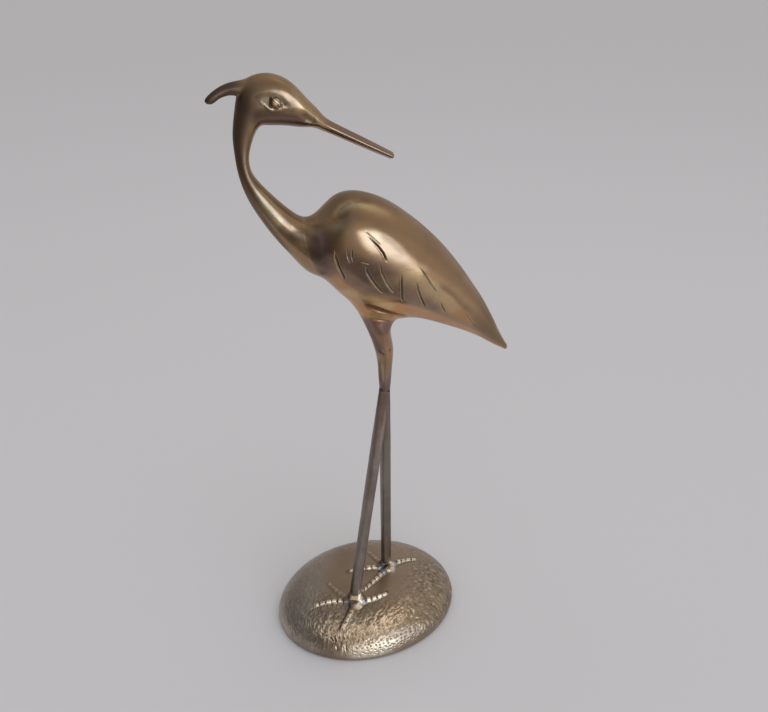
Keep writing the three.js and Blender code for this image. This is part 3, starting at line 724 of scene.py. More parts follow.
def root_carving(p):
    """The blind slot, folds and nicks where the thigh leaves the belly. Returns the relief, the grime with painted
    shade (slot, folds, nicks and dark patches round the thigh's root), and rubbed places with painted highlights on the
    folds' lips.
    """
    here = (p[:, 2] < 212) & (p[:, 0] > -8) & (p[:, 0] < 24) & (np.abs(p[:, 1] - PLANE_Y) > 2)
    everywhere = [np.zeros(len(p)), np.zeros(len(p)), np.zeros(len(p))]
    p = p[here]
    x, z, left = p[:, 0], p[:, 2], p[:, 1] < PLANE_Y
    lift, dirt_and_painted_shade, rub_and_painted_highlight = np.zeros(len(p)), np.zeros(len(p)), np.zeros(len(p))
    d, u = to_line(x, z, SLOT)
    below = -side_of(x, z, SLOT) * d
    wide = 3.0 * (1 - 0.65 * smooth(0.2, 1.0, u))
    slot = smooth(-0.05, 0.45, below) * smooth(wide, 0.72 * wide, below) * smooth(-0.3, 0.5, x - SLOT[0, 0]) * smooth(1.0, 0.75, u)
    lift -= 0.70 * slot * np.where(left, 1, 0.7)
    dirt_and_painted_shade = np.maximum(dirt_and_painted_shade, 0.70 * slot ** 0.8)
    # painted shade: patches round the thigh's root, along the front of its arris and low on the stub
    dirt_and_painted_shade = np.maximum(dirt_and_painted_shade, 0.45 * np.exp(-((x - 4) / 2.8) ** 2 - ((z - 190) / 4.2) ** 2))
    dirt_and_painted_shade = np.maximum(dirt_and_painted_shade, 0.50 * np.exp(-((x - 3.0) / 3.8) ** 2 - ((z - 194.1) / 1.9) ** 2))
    arris = x - np.interp(z, [175.4, 182.2, 187.9, 194.6], [6.0, 3.0, 0.5, -2.2])
    dirt_and_painted_shade = np.maximum(dirt_and_painted_shade, 0.30 * smooth(0.8, -0.8, arris) * smooth(174, 178, z) * smooth(195.5, 193.5, z))
    dirt_and_painted_shade = np.maximum(dirt_and_painted_shade, 0.20 * smooth(159, 154.5, z))
    # folds: darker in the crease (grime and painted shade), with a painted highlight on the lip beside it
    for pts, depth, half in (([(-2.7, 196.2), (-0.4, 196.0), (3.2, 195.2), (6.3, 194.0), (8.8, 192.2)], 0.20, 0.42),
                             ([(3.4, 178.0), (4.6, 176.0), (6.2, 174.7)], 0.26, 0.5),
                             ([(4.4, 171.2), (4.9, 165.0), (5.2, 157.0)], 0.14, 0.42)):
        d, u = to_line(x, z, pts)
        g = np.exp(-((d / half) ** 2)) * smooth(-0.05, 0.2, u) * smooth(1.05, 0.8, u)
        lift -= np.where(left, depth, depth * 0.6) * g
        dirt_and_painted_shade = np.maximum(dirt_and_painted_shade, np.minimum(2.4 * depth, 0.7) * g)
        rub_and_painted_highlight = np.maximum(rub_and_painted_highlight, 0.45 * np.exp(-(((d - 2.1 * half) / half) ** 2)) * smooth(0, 0.3, u) * smooth(1, 0.7, u) * (side_of(x, z, pts) > 0))
    d, u = to_line(x, z, [(-2.2, 194.6), (0.5, 187.9), (3.0, 182.2), (6.0, 175.4)])
    lift += 0.10 * np.exp(-((d / 1.5) ** 2)) * smooth(-0.02, 0.18, u) * smooth(1.02, 0.8, u)
    for cx, cz in ((7.0, 193.7), (9.0, 176.9)):
        g = np.where(left, np.exp(-(((x - cx) ** 2 + (z - cz) ** 2) / 0.3)), 0)
        lift -= 0.3 * g
        dirt_and_painted_shade = np.maximum(dirt_and_painted_shade, g)
    lift += 0.07 * noise3(p, 4.0, 8) * smooth(194, 186, z)
    for whole, part in zip(everywhere, (lift, dirt_and_painted_shade, rub_and_painted_highlight)):
        whole[here] = part
    return everywhere


# Outline low on the flank, below the window's light, where a dark reflection is painted in.
DARK_FLANK = np.array([(-20.0, 233.3), (-13.0, 234.6), (-4.3, 228.3), (4.7, 222.6), (16.0, 214.5), (30.5, 201.8), (34.9, 195.4),
                       (23.2, 200.6), (9.5, 208.1), (-3.9, 211.9), (-14.3, 219.6), (-19.4, 225.6)], float)


def bird_tones(p):
    """Masks for the brass: browner (tarnish, with painted shade and painted dark reflection), warmer orange (painted
    reflection and warm tone), satin, painted highlight and painted shade.
    """
    x, y, z = p.T
    n1, n2 = noise3(p, 9.0, 41), noise3(p, 3.5, 42)
    # painted dark reflection on the flank below the window's light
    flank = inside(x, z, DARK_FLANK)
    tarnish_and_painted_light = 0.48 * smooth(-2.5, 3.0, flank + 1.6 * n1) * (1 + 0.35 * n2)
    # painted shade round the shoulder hollow
    d, _ = to_line(x, z, [(-24.0, 238), (-24.5, 230), (-21.5, 222)])
    tarnish_and_painted_light = np.maximum(tarnish_and_painted_light, 0.85 * smooth(5.5, 1.0, d + 1.0 * n1))
    # painted shade on the cheek, throat and the front of the neck, where the neck meets the breast, and on the shoulder
    d, _ = to_line(x, z, [(-50, 291.5), (-44, 288.0), (-36, 285.8), (-29, 285.0)])
    tarnish_and_painted_light = np.maximum(tarnish_and_painted_light, 0.55 * smooth(5.4, 0.8, d + 0.8 * n1))
    d, _ = to_line(x, z, [(-52.5, 292), (-54.0, 281), (-54.2, 268), (-50.5, 256), (-41, 243)])
    tarnish_and_painted_light = np.maximum(tarnish_and_painted_light, 0.25 * smooth(6.0, 1.5, d + 1.0 * n1))
    dull_and_painted_shade = 0.46 * smooth(6.5, 1.5, d + 1.0 * n1) * smooth(242, 252, z)
    d, _ = to_line(x, z, [(-50, 289.5), (-44, 286.5), (-36, 284.8), (-30, 284.3)])
    dull_and_painted_shade = np.maximum(dull_and_painted_shade, 0.34 * smooth(5.0, 0.8, d + 0.6 * n1))
    d, _ = to_line(x, z, [(-34.4, 239.4), (-31.0, 239.4), (-27.5, 236.8), (-26.0, 231.8)])
    dull_and_painted_shade = np.maximum(dull_and_painted_shade, 0.68 * smooth(4.2, 1.5, d + 0.6 * n2))
    dull_and_painted_shade = np.maximum(dull_and_painted_shade, 0.26 * np.exp(-((x + 20.5) / 3.5) ** 2 - ((z - 226.5) / 4.5) ** 2))
    # painted shade along the upper side and the front of the neck
    spine = [(-51.9, 263.9), (-45.8, 253.5), (-38.0, 243.2), (-30.6, 235.4)]
    d, _ = to_line(x, z, spine)
    upper = (side_of(x, z, spine) > 0) * smooth(4.9, 3.9, np.abs(y - PLANE_Y)) * smooth(268, 262, z) * smooth(229, 234, z)
    dull_and_painted_shade = np.maximum(dull_and_painted_shade, 0.34 * upper * smooth(-22, -27, x))
    front = (side_of(x, z, spine) < 0) * smooth(0.5, 2.5, d) * smooth(5.6, 3.6, np.abs(y - PLANE_Y))
    dull_and_painted_shade = np.maximum(dull_and_painted_shade, 0.55 * front * smooth(268, 262, z) * smooth(228, 233, z) * smooth(-24, -28, x))
    # painted shade between the eye and the brow, and between the strokes low on the flank
    d, _ = to_line(x, z, [(-37.6, 296.8), (-36.2, 294.6), (-34.5, 292.6), (-32.4, 290.8)])
    dull_and_painted_shade = np.maximum(dull_and_painted_shade, 0.42 * smooth(2.2, 0.6, d))
    dull_and_painted_shade = np.maximum(dull_and_painted_shade, 0.40 * np.exp(-((x + 32.6) / 2.0) ** 2 - ((z - 292.3) / 1.9) ** 2))
    dull_and_painted_shade = np.maximum(dull_and_painted_shade, 0.60 * np.exp(-((x + 43.6) / 2.8) ** 2 - ((z - 296.7) / 1.4) ** 2))
    dull_and_painted_shade = np.maximum(dull_and_painted_shade, 0.22 * np.exp(-((x + 0.5) / 5.0) ** 2 - ((z - 213.0) / 2.2) ** 2))
    # painted shade round the upper side and the front of the eye's hollow, and along the right edge of the neck's
    # highlight
    d, _ = to_line(x, z, [(-45.6, 295.6), (-43.6, 296.2), (-41.0, 296.6), (-38.6, 296.1), (-36.3, 295.0), (-34.9, 293.2), (-33.6, 292.0)])
    dull_and_painted_shade = np.maximum(dull_and_painted_shade, 0.74 * smooth(1.9, 0.5, d))
    d, u = to_line(x, z, [(-42.6, 252.0), (-41.1, 249.9), (-39.6, 248.1), (-38.0, 246.3), (-36.4, 244.4), (-35.0, 242.8)])
    dull_and_painted_shade = np.maximum(dull_and_painted_shade, 0.36 * np.exp(-((d / 0.8) ** 2)) * smooth(0, 0.15, u) * smooth(1, 0.85, u))
    # tip of the tail
    dull_and_painted_shade = np.maximum(dull_and_painted_shade, 0.30 * smooth(49, 60, x))
    # top of the back
    dull_and_painted_shade = np.maximum(dull_and_painted_shade, 0.20 * smooth(246, 252, z) * (z < 262) * smooth(-20, -13, x))
    # painted shade along the upper edge of the wing's light
    d, u = to_line(x, z, [(-1.5, 240.4), (1.0, 238.7), (4.4, 235.8), (8.0, 232.2), (11.5, 229.0)])
    dull_and_painted_shade = np.maximum(dull_and_painted_shade, 0.28 * smooth(1.8, 0.5, d) * smooth(0, 0.2, u) * smooth(1, 0.8, u))
    # painted shade behind and above the eye
    dull_and_painted_shade = np.maximum(dull_and_painted_shade, 0.34 * smooth(-33.0, -41.0, x) * smooth(289.0, 293, z) * smooth(301.5, 297.5, z))
    # crest
    dull_and_painted_shade = np.maximum(dull_and_painted_shade, 0.50 * smooth(-48.5, -53.0, x) * smooth(289, 291, z))
    # front of the belly
    tarnish_and_painted_light = np.maximum(tarnish_and_painted_light, 0.45 * np.exp(-((x + 15) / 6) ** 2 - ((z - 211) / 5) ** 2))
    # crest and bill
    tarnish_and_painted_light = np.maximum(tarnish_and_painted_light, 0.50 * smooth(-50.5, -54.5, x) * smooth(289, 291, z))
    tarnish_and_painted_light = np.maximum(tarnish_and_painted_light, 0.45 * smooth(-21, -15, x) * smooth(250, 260, z))
    # thigh stub: painted shade on its front, and below it the colour of the legs
    stub = (z < 198) & (x < 16) & (x > -8)
    arris = (x - np.interp(z, [175.4, 182.2, 187.9, 194.6], [6.0, 3.0, 0.5, -2.2]))
    stub_dark = np.maximum(0.25 + 0.70 * smooth(1.8, -0.6, arris), 0.85 * smooth(185, 188.5, z)) * smooth(172, 177, z) * smooth(196.2, 194.6, z + 0.25 * x)
    leg_like = smooth(166, 157.5, z + 1.2 * n2 - 0.25 * (x - 8))
    tarnish_and_painted_light = np.where(stub, np.maximum(stub_dark, 0.25 * smooth(178, 170, z)), tarnish_and_painted_light)
    tarnish_and_painted_light = np.where(stub, np.maximum(tarnish_and_painted_light, leg_like), tarnish_and_painted_light)
    # painted warmer reflection of the base on the belly under the wing's lower edge; the thigh stub is warmer low and
    # just below the slot
    border = inside(x, z, WING)
    warm_and_painted_reflection = smooth(0.6, -1.2, border) * smooth(-24, -14, x) * smooth(150, 176, z) * smooth(240, 222, z)
    warm_and_painted_reflection = np.where(stub, 0.44 * smooth(166, 178, z) + 0.65 * smooth(193.0, 195.5, z + 0.25 * x), warm_and_painted_reflection) * (0.75 + 0.25 * n1)
    tarnish_and_painted_light = tarnish_and_painted_light + 0.15 * smooth(0.1, 0.9, n1 + 0.4 * n2)
    # satin rather than polished: back, shoulders, neck root and thigh
    away = np.abs(y - PLANE_Y)
    satin = smooth(17.5, 11.0, away) * smooth(225, 243, z + 0.9 * np.clip(x, 0, 60)) * smooth(-34, -24, x)
    satin = np.maximum(satin, np.where(stub, smooth(196, 188, z), 0)) * (z < 262)
    satin = np.maximum(satin, 0.12 * smooth(280, 272, z) * smooth(-28, -36, x))
    satin = np.maximum(satin, 0.9 * smooth(265, 271, z) * smooth(297, 288, z) * smooth(-45, -49, x))
    satin = np.maximum(satin, 0.8 * smooth(-37, -40, x) * smooth(289.5, 293, z))
    satin = np.maximum(satin, 0.9 * np.exp(-((x - 0.6) / 4.5) ** 2 - ((z - 197.4) / 2.6) ** 2))
    # painted highlights: the mantle's edge, the flank round and below the window's light, the shoulder, the brow
    # towards the bill, the cheek's rim, beside the neck's highlight and above the thigh; the mantle's edge and the band
    # below the window's light also get a painted warmer reflection
    best, at, _ = mantle_place(p)
    low = (z < 262) & (z > 175)
    painted_highlight = np.where(low, np.exp(-((best / 2.1) ** 2)) * smooth(0, 0.12, at) * smooth(0.66, 0.36, at), 0)
    warm_and_painted_reflection = np.maximum(warm_and_painted_reflection, 0.45 * np.exp(-((best / 3.0) ** 2)) * smooth(0.8, 0.4, at) * low)
    d, u = to_line(x, z, [(10, 226.5), (21, 217.5), (36, 202.5), (48, 190)])
    reach = np.where(side_of(x, z, [(10, 226.5), (21, 217.5), (36, 202.5), (48, 190)]) > 0, 2.2, 9.0)
    band = low * smooth(1.0, 0.15, (d + 0.6 * n2) / reach)
    painted_highlight = np.maximum(painted_highlight, 0.42 * band * smooth(1.0, 0.6, u) * smooth(-0.12, 0.25, u))
    warm_and_painted_reflection = np.maximum(warm_and_painted_reflection, band * (0.22 + 0.28 * smooth(0.3, 0.8, u)) * smooth(-0.05, 0.2, u))
    d, _ = to_line(x, z, [(-12, 211), (-2, 207.5), (6, 203.5)])
    painted_highlight = np.maximum(painted_highlight, 0.42 * np.exp(-((d / 2.5) ** 2)))
    painted_highlight = np.maximum(painted_highlight, 0.30 * np.exp(-((x + 17.5) / 4.5) ** 2 - ((z - 243.5) / 3.5) ** 2))
    d, u = to_line(x, z, [(-27.2, 285.8), (-26.3, 285.0), (-24.7, 284.3), (-23.1, 284.5)])
    painted_highlight = np.maximum(painted_highlight, 0.9 * np.exp(-((d / 0.6) ** 2)) * smooth(-0.02, 0.3, u) * smooth(1.02, 0.6, u))
    d, _ = to_line(x, z, BROW)
    painted_highlight = np.maximum(painted_highlight, 0.22 * np.exp(-((d / 2.3) ** 2)) * smooth(-33.5, -29.5, x) * smooth(-17, -20, x))
    painted_highlight = np.maximum(painted_highlight, 0.16 * np.exp(-((x + 3.0) / 4.2) ** 2 - ((z - 238.6) / 3.2) ** 2))
    d, u = to_line(x, z, [(-47.0, 257.0), (-42.5, 249.5), (-38.0, 243.5)])
    painted_highlight = np.maximum(painted_highlight, 0.24 * smooth(3.6, 1.6, d) * smooth(1.02, 0.7, u))
    d, u = to_line(x, z, [(-47.8, 255.9), (-44.7, 250.4), (-42.1, 246.6), (-38.8, 243.0)])
    painted_highlight = np.maximum(painted_highlight, 0.60 * np.exp(-((d / 1.7) ** 2)) * smooth(0, 0.15, u) * smooth(1, 0.8, u))
    painted_highlight = np.maximum(painted_highlight, 0.22 * np.exp(-((x - 6.0) / 7.0) ** 2 - ((z - 217.5) / 2.8) ** 2))
    painted_highlight = np.maximum(painted_highlight, 0.10 * np.exp(-((x - 1.0) / 4.0) ** 2 - ((z - 198.3) / 1.7) ** 2))
    return tarnish_and_painted_light, warm_and_painted_reflection * (1 - 0.6 * np.clip(tarnish_and_painted_light, 0, 1)), satin, np.where(np.abs(y - PLANE_Y) > 3, painted_highlight, 0), dull_and_painted_shade


# -------------------------------------------------------------------- the legs
def build_leg(name, spacing, foot):
    yaw, tilt = STUB["yaw"] * RAD, STUB["tilt"] * RAD
    top = np.array([STUB["x"] + spacing * math.sin(yaw), PLANE_Y + spacing * math.cos(yaw), STUB["z"]])
    out = -np.array([math.sin(tilt) * math.cos(yaw), -math.sin(tilt) * math.sin(yaw), -math.cos(tilt)])
    top = top + out * 0.16
    bottom = np.array(foot["top"]) + np.array([0, 0, 0.05])
    rows, cols = 220, 64
    phi = (np.arange(cols) + 0.5) / cols * 2 * np.pi
    pts, faces = [], []
    for r in range(rows + 1):
        u = {1: 0.0004, rows - 1: 0.9996}.get(r, r / rows)
        size = foot["size"][1] + (foot["size"][0] - foot["size"][1]) * u
        blend = max(0.0, (u - 0.5) * 2) ** 2
        a, w = (180 + (STUB["tilt"] - 180) * blend) * RAD, STUB["yaw"] * blend * RAD
        n = np.array([math.cos(a) * math.cos(w), -math.cos(a) * math.sin(w), math.sin(a)])
        s = np.array([math.sin(w), math.cos(w), 0])
        c = bottom + (top - bottom) * u
        e = 2 / 3.4
        edge = min(u, 1 - u) * np.linalg.norm(top - bottom)
        ease = 1 - 0.01 * max(0.0, 1 - edge / 0.3) ** 2
        pts.append(c + np.outer(spow(np.cos(phi), e), n) * size / 2 * ease + np.outer(spow(np.sin(phi), e), s) * size / 2 * ease)
        if r:
            a0, b0 = (r - 1) * cols, r * cols
            faces += [(a0 + k, a0 + (k + 1) % cols, b0 + (k + 1) % cols, b0 + k) for k in range(cols)]
    pts = np.vstack(pts)
    axis = unit((top - bottom)[None])[0]
    rel = pts - bottom
    radial = unit(rel - np.outer(rel @ axis, axis))
    lift = 0.045 * noise3(pts * np.array([1, 1, 0.25]), 2.2, 11) + 0.05 * noise3(pts, 7.0, 12) + 0.02 * noise3(pts, 1.0, 13)
    pts = pts + radial * lift[:, None]
    faces += [tuple(range(cols)), tuple(range(rows * cols, rows * cols + cols))]
    # Rubbed corners, and a painted glint (highlight) low on the ankle's front, go into the wear mask; the leg is darker
    # low by the ankle, away from the glint and corners, and at the top under the thigh stub (grime and painted shade).
    corner = np.tile(np.abs(np.sin(2 * phi)) ** 6, rows + 1)
    height = smooth(95, 150, pts[:, 2])
    turn = np.degrees(np.arctan2(radial[:, 1], radial[:, 0]))
    glint = smooth(30.5, 27.5, pts[:, 2]) * smooth(34, 16, np.abs(turn + 50))
    return make_mesh(name, pts, faces, {"grime_and_painted_shade": np.maximum(0.4 * smooth(32, 26, pts[:, 2]) * (1 - corner) * (1 - glint), 0.42 * smooth(138, 151, pts[:, 2])),
                                        "wear_and_painted_highlight": np.maximum(0.17 * corner * (0.5 + 0.5 * noise3(pts, 9.0, 15)), glint), "tarnish_and_painted_light": 0 * height, "warm_and_painted_reflection": height})


# -------------------------------------------------------------------- the base
def dome_height(x, y):
    r = np.hypot(x / BASE_A, y / BASE_B)
    return BASE_RIM + (BASE_H - BASE_RIM) * np.sqrt(np.clip(1 - r ** BASE_P, 0, 1))


def toe_path(hub, heading, length, bow, n=24):
    u = np.linspace(0, 1, n)
    a = heading * RAD
    d, s = np.array([math.cos(a), math.sin(a)]), np.array([-math.sin(a), math.cos(a)])
    return np.array(hub) + np.outer(u * length, d) + np.outer(bow * np.sin(np.pi * u), s)


TOES = [(toe_path(f["hub"], *t), t[1], name, key) for key, f in FEET.items() for name, t in f["toes"].items()]


def feet_height(x, y):
    """How far the cast toes and ankles stand above the dome, with their grime and painted shade, rubbed places and
    painted highlights, and a blue-grey painted reflection at the toe roots.
    """
    rise, dirt_and_painted_shade, rub_and_painted_highlight, painted_sheen = np.zeros(len(x)), np.zeros(len(x)), np.zeros(len(x)), np.zeros(len(x))
    grain = noise3(np.c_[x, y, 0 * x], 1.4, 51)
    for path, length, name, key in TOES:
        d, u = to_line(x, y, path)
        s = u * length
        turned = side_of(x, y, path)
        soft = (name in ("inner", "outer") and key == "left") or (name == "inner" and key == "right")
        pitch, first = (3.1, 7.6) if soft else (3.4, 8.0)
        count = int((length - first - 0.6) // pitch) + 1
        k = np.clip(np.round((s - first) / pitch), 0, count - 1)
        off = np.abs(s - first - k * pitch)
        block = smooth(pitch * 0.5 - 0.05, pitch * 0.5 - 0.62, off + 0.22 * grain) * smooth(5.6, 7.0, s) * (0.92 + 0.12 * np.sin(k * 2.4 + length))
        root = smooth(7.2, 5.4, s)
        fade = np.clip(1 - (s - 6.5) / (length - 4.0), 0.25, 1)
        half = (2.15 * root + (1.0 + 0.75 * fade) * (1 - root)) * (1 + 0.06 * grain)
        solid = np.maximum(root, 0.42 + 0.58 * block)
        high = (1.9 * root + (0.75 + 1.15 * fade) * (1 - root)) * solid * smooth(1.0, 0.94, u)
        if soft:
            high = high * ((0.26 if key == "left" else 0.40) if name == "inner" else 0.72)
        r = d / half
        shape = np.clip(1 - r ** 2, 0, 1) ** 0.55 * high
        rise = np.maximum(rise, shape)
        # the beads' tops are rubbed and carry a painted highlight; darker in the gaps between beads and along each
        # toe's foot (grime and painted shade)
        on = smooth(1.05, 0.7, r)
        rub_and_painted_highlight = np.maximum(rub_and_painted_highlight, on * block * smooth(7.0, 7.8, s) * ((0.22 if name == "inner" else 0.30) if soft else 1.0))
        gap = on * (1 - block) * smooth(6.6, 7.4, s) * smooth(1.0, 0.9, u)
        dirt_and_painted_shade = np.maximum(dirt_and_painted_shade, (0.30 if soft else 0.50) * gap)
        dirt_and_painted_shade = np.maximum(dirt_and_painted_shade, (0.15 if name == "inner" else 0.45) * np.exp(-(((d - half * 1.12) / 0.55) ** 2)) * smooth(1.02, 0.9, u))
        # blue-grey painted reflection at the roots of the full-height toes
        if not soft:
            painted_sheen = np.maximum(painted_sheen, smooth(2.9, 1.6, d) * smooth(9.0, 5.0, s) * smooth(1.0, 2.4, s) * (y < path[0][1] + 1.5))
        if key == "right" and name == "outer":
            rub_and_painted_highlight = rub_and_painted_highlight * (1 - 0.35 * smooth(0.5, 0.9, u) * (d < 3))
        if name == "outer" and key == "left":
            # the sharp crease along the outer side of this toe, with painted shade in it and painted highlights on the
            # ridges beside it
            crease = np.exp(-(((d - 1.75) / 0.5) ** 2)) * (turned < 0) * smooth(0.0, 0.2, u) * smooth(1.02, 0.9, u)
            rise = rise - 0.55 * crease
            dirt_and_painted_shade = np.maximum(dirt_and_painted_shade, crease)
            for shift, power in ((0.9, 0.5), (2.2, 0.35)):
                ridge = np.exp(-(((d - shift) / 0.35) ** 2)) * (turned > 0) * smooth(0.3, 0.6, u) * smooth(1.0, 0.9, u)
                rub_and_painted_highlight = np.maximum(rub_and_painted_highlight, power * ridge)
    for key, foot in FEET.items():
        tx, ty, tz = foot["top"]
        size = foot["size"][0] / 2
        hx, hy = foot["hub"]
        # distance outside the leg's foot, leaning from the hub to the leg
        d, u = to_line(x, y, [(hx, hy), (tx, ty)])
        turn = np.degrees(np.arctan2(y - ty, x - tx))
        front = smooth(72, 18, np.abs(turn + 52))
        stem = np.clip(1 - (d - size * 0.98) / (1.9 + 0.9 * front), 0, 1)
        top = tz - dome_height(np.array([tx]), np.array([ty]))[0]
        cone = top * smooth(0, 1, stem) * (0.45 + 0.55 * u)
        rise = np.maximum(rise, cone)
        body = smooth(0.05, 0.4, stem) * (d > size * 0.7)
        # painted highlight on the ankle's front; painted shade round its back and in a ring outside it away from the
        # front
        rub_and_painted_highlight = np.maximum(rub_and_painted_highlight, 0.85 * front * body * smooth(0.15, 0.5, stem))
        dirt_and_painted_shade = np.maximum(dirt_and_painted_shade, 0.6 * body * smooth(30, 80, np.abs(turn + 48)) + 0.5 * np.exp(-(((d - size - 2.1) / 0.6) ** 2)) * (1 - front))
    return rise, np.clip(dirt_and_painted_shade * (1 - 0.7 * rub_and_painted_highlight), 0, 1), rub_and_painted_highlight, painted_sheen * (1 - rub_and_painted_highlight)


def pebble(x, y, z):
    """Cast pebbling that runs in slanting rows, coarser and pitted low on the front.
    Returns the relief, its hollows and its tops; build_base darkens the hollows as painted shade and lightens the tops
    as painted highlights."""
    r = np.hypot(x / BASE_A, y / BASE_B)
    q = np.c_[x, y, z]
    facing = smooth(0.35, -0.35, y / np.maximum(BASE_B * np.maximum(r, 1e-3), 1e-3))
    strength = smooth(0.36, 0.70, r + 0.06 * noise3(q, 9.0, 20)) * (0.42 + 0.58 * facing)
    strength *= 1 - 0.30 * smooth(-0.55, -0.85, x / BASE_A)
    c34, s34 = math.cos(34 * RAD), math.sin(34 * RAD)
    warp = 0.8 * noise3(q, 3.0, 21)
    across = (y - 0.675 * x + 0.0109 * x * x) * c34 + warp
    along = x * c34 + y * s34 + 0.9 * noise3(q, 3.4, 22)
    flow = np.c_[along * 0.42, across, 0 * x]
    wrinkle = 1 - np.abs(noise3(flow, 1.5, 31)) * 2.4
    wrinkle = 0.55 * np.clip(wrinkle, -0.4, 1) + 0.45 * (1 - 2.4 * np.abs(noise3(np.c_[along * 0.75, across, 0 * x], 1.0, 32)))
    f1, f2, own = cells2(along * 0.6, across, 1.6, 33)
    grainy = smooth(0.0, 0.6, f2 - f1) * (0.4 + 0.6 * own)
    rowy = smooth(30, 12, x) * facing
    bump = np.clip(0.5 + 0.5 * wrinkle, 0, 1) * (0.35 + 0.5 * rowy) + grainy * (0.65 - 0.5 * rowy)
    g1, g2, _ = cells2(x * 0.75 + 0.3 * warp + 0.25 * z, z * 1.15 - 0.12 * x, 1.9, 37, 0.75)
    low = smooth(13.5, 10.0, z) * smooth(2.4, 4.0, z) * facing * smooth(-27, -17, x) * smooth(26, 12, x)
    pits = smooth(0.34, 0.10, g1) * low * (0.7 + 0.3 * noise3(q, 3.0, 38))
    fine = noise3(q, 0.9, 24)
    level = strength * (1 - 0.75 * low)
    quiet = smooth(1.0, 5.0, z)
    relief = ((0.58 * bump + 0.07 * fine) * level - 0.30 * pits) * quiet + 0.014 * noise3(q, 1.6, 25) * (1 - level)
    hollow = np.clip((1 - smooth(0.12, 0.45, bump)) * level * 0.75 + 0.8 * pits, 0, 1) * quiet
    tops = smooth(0.55, 0.85, bump) * level * quiet
    return relief, hollow, tops


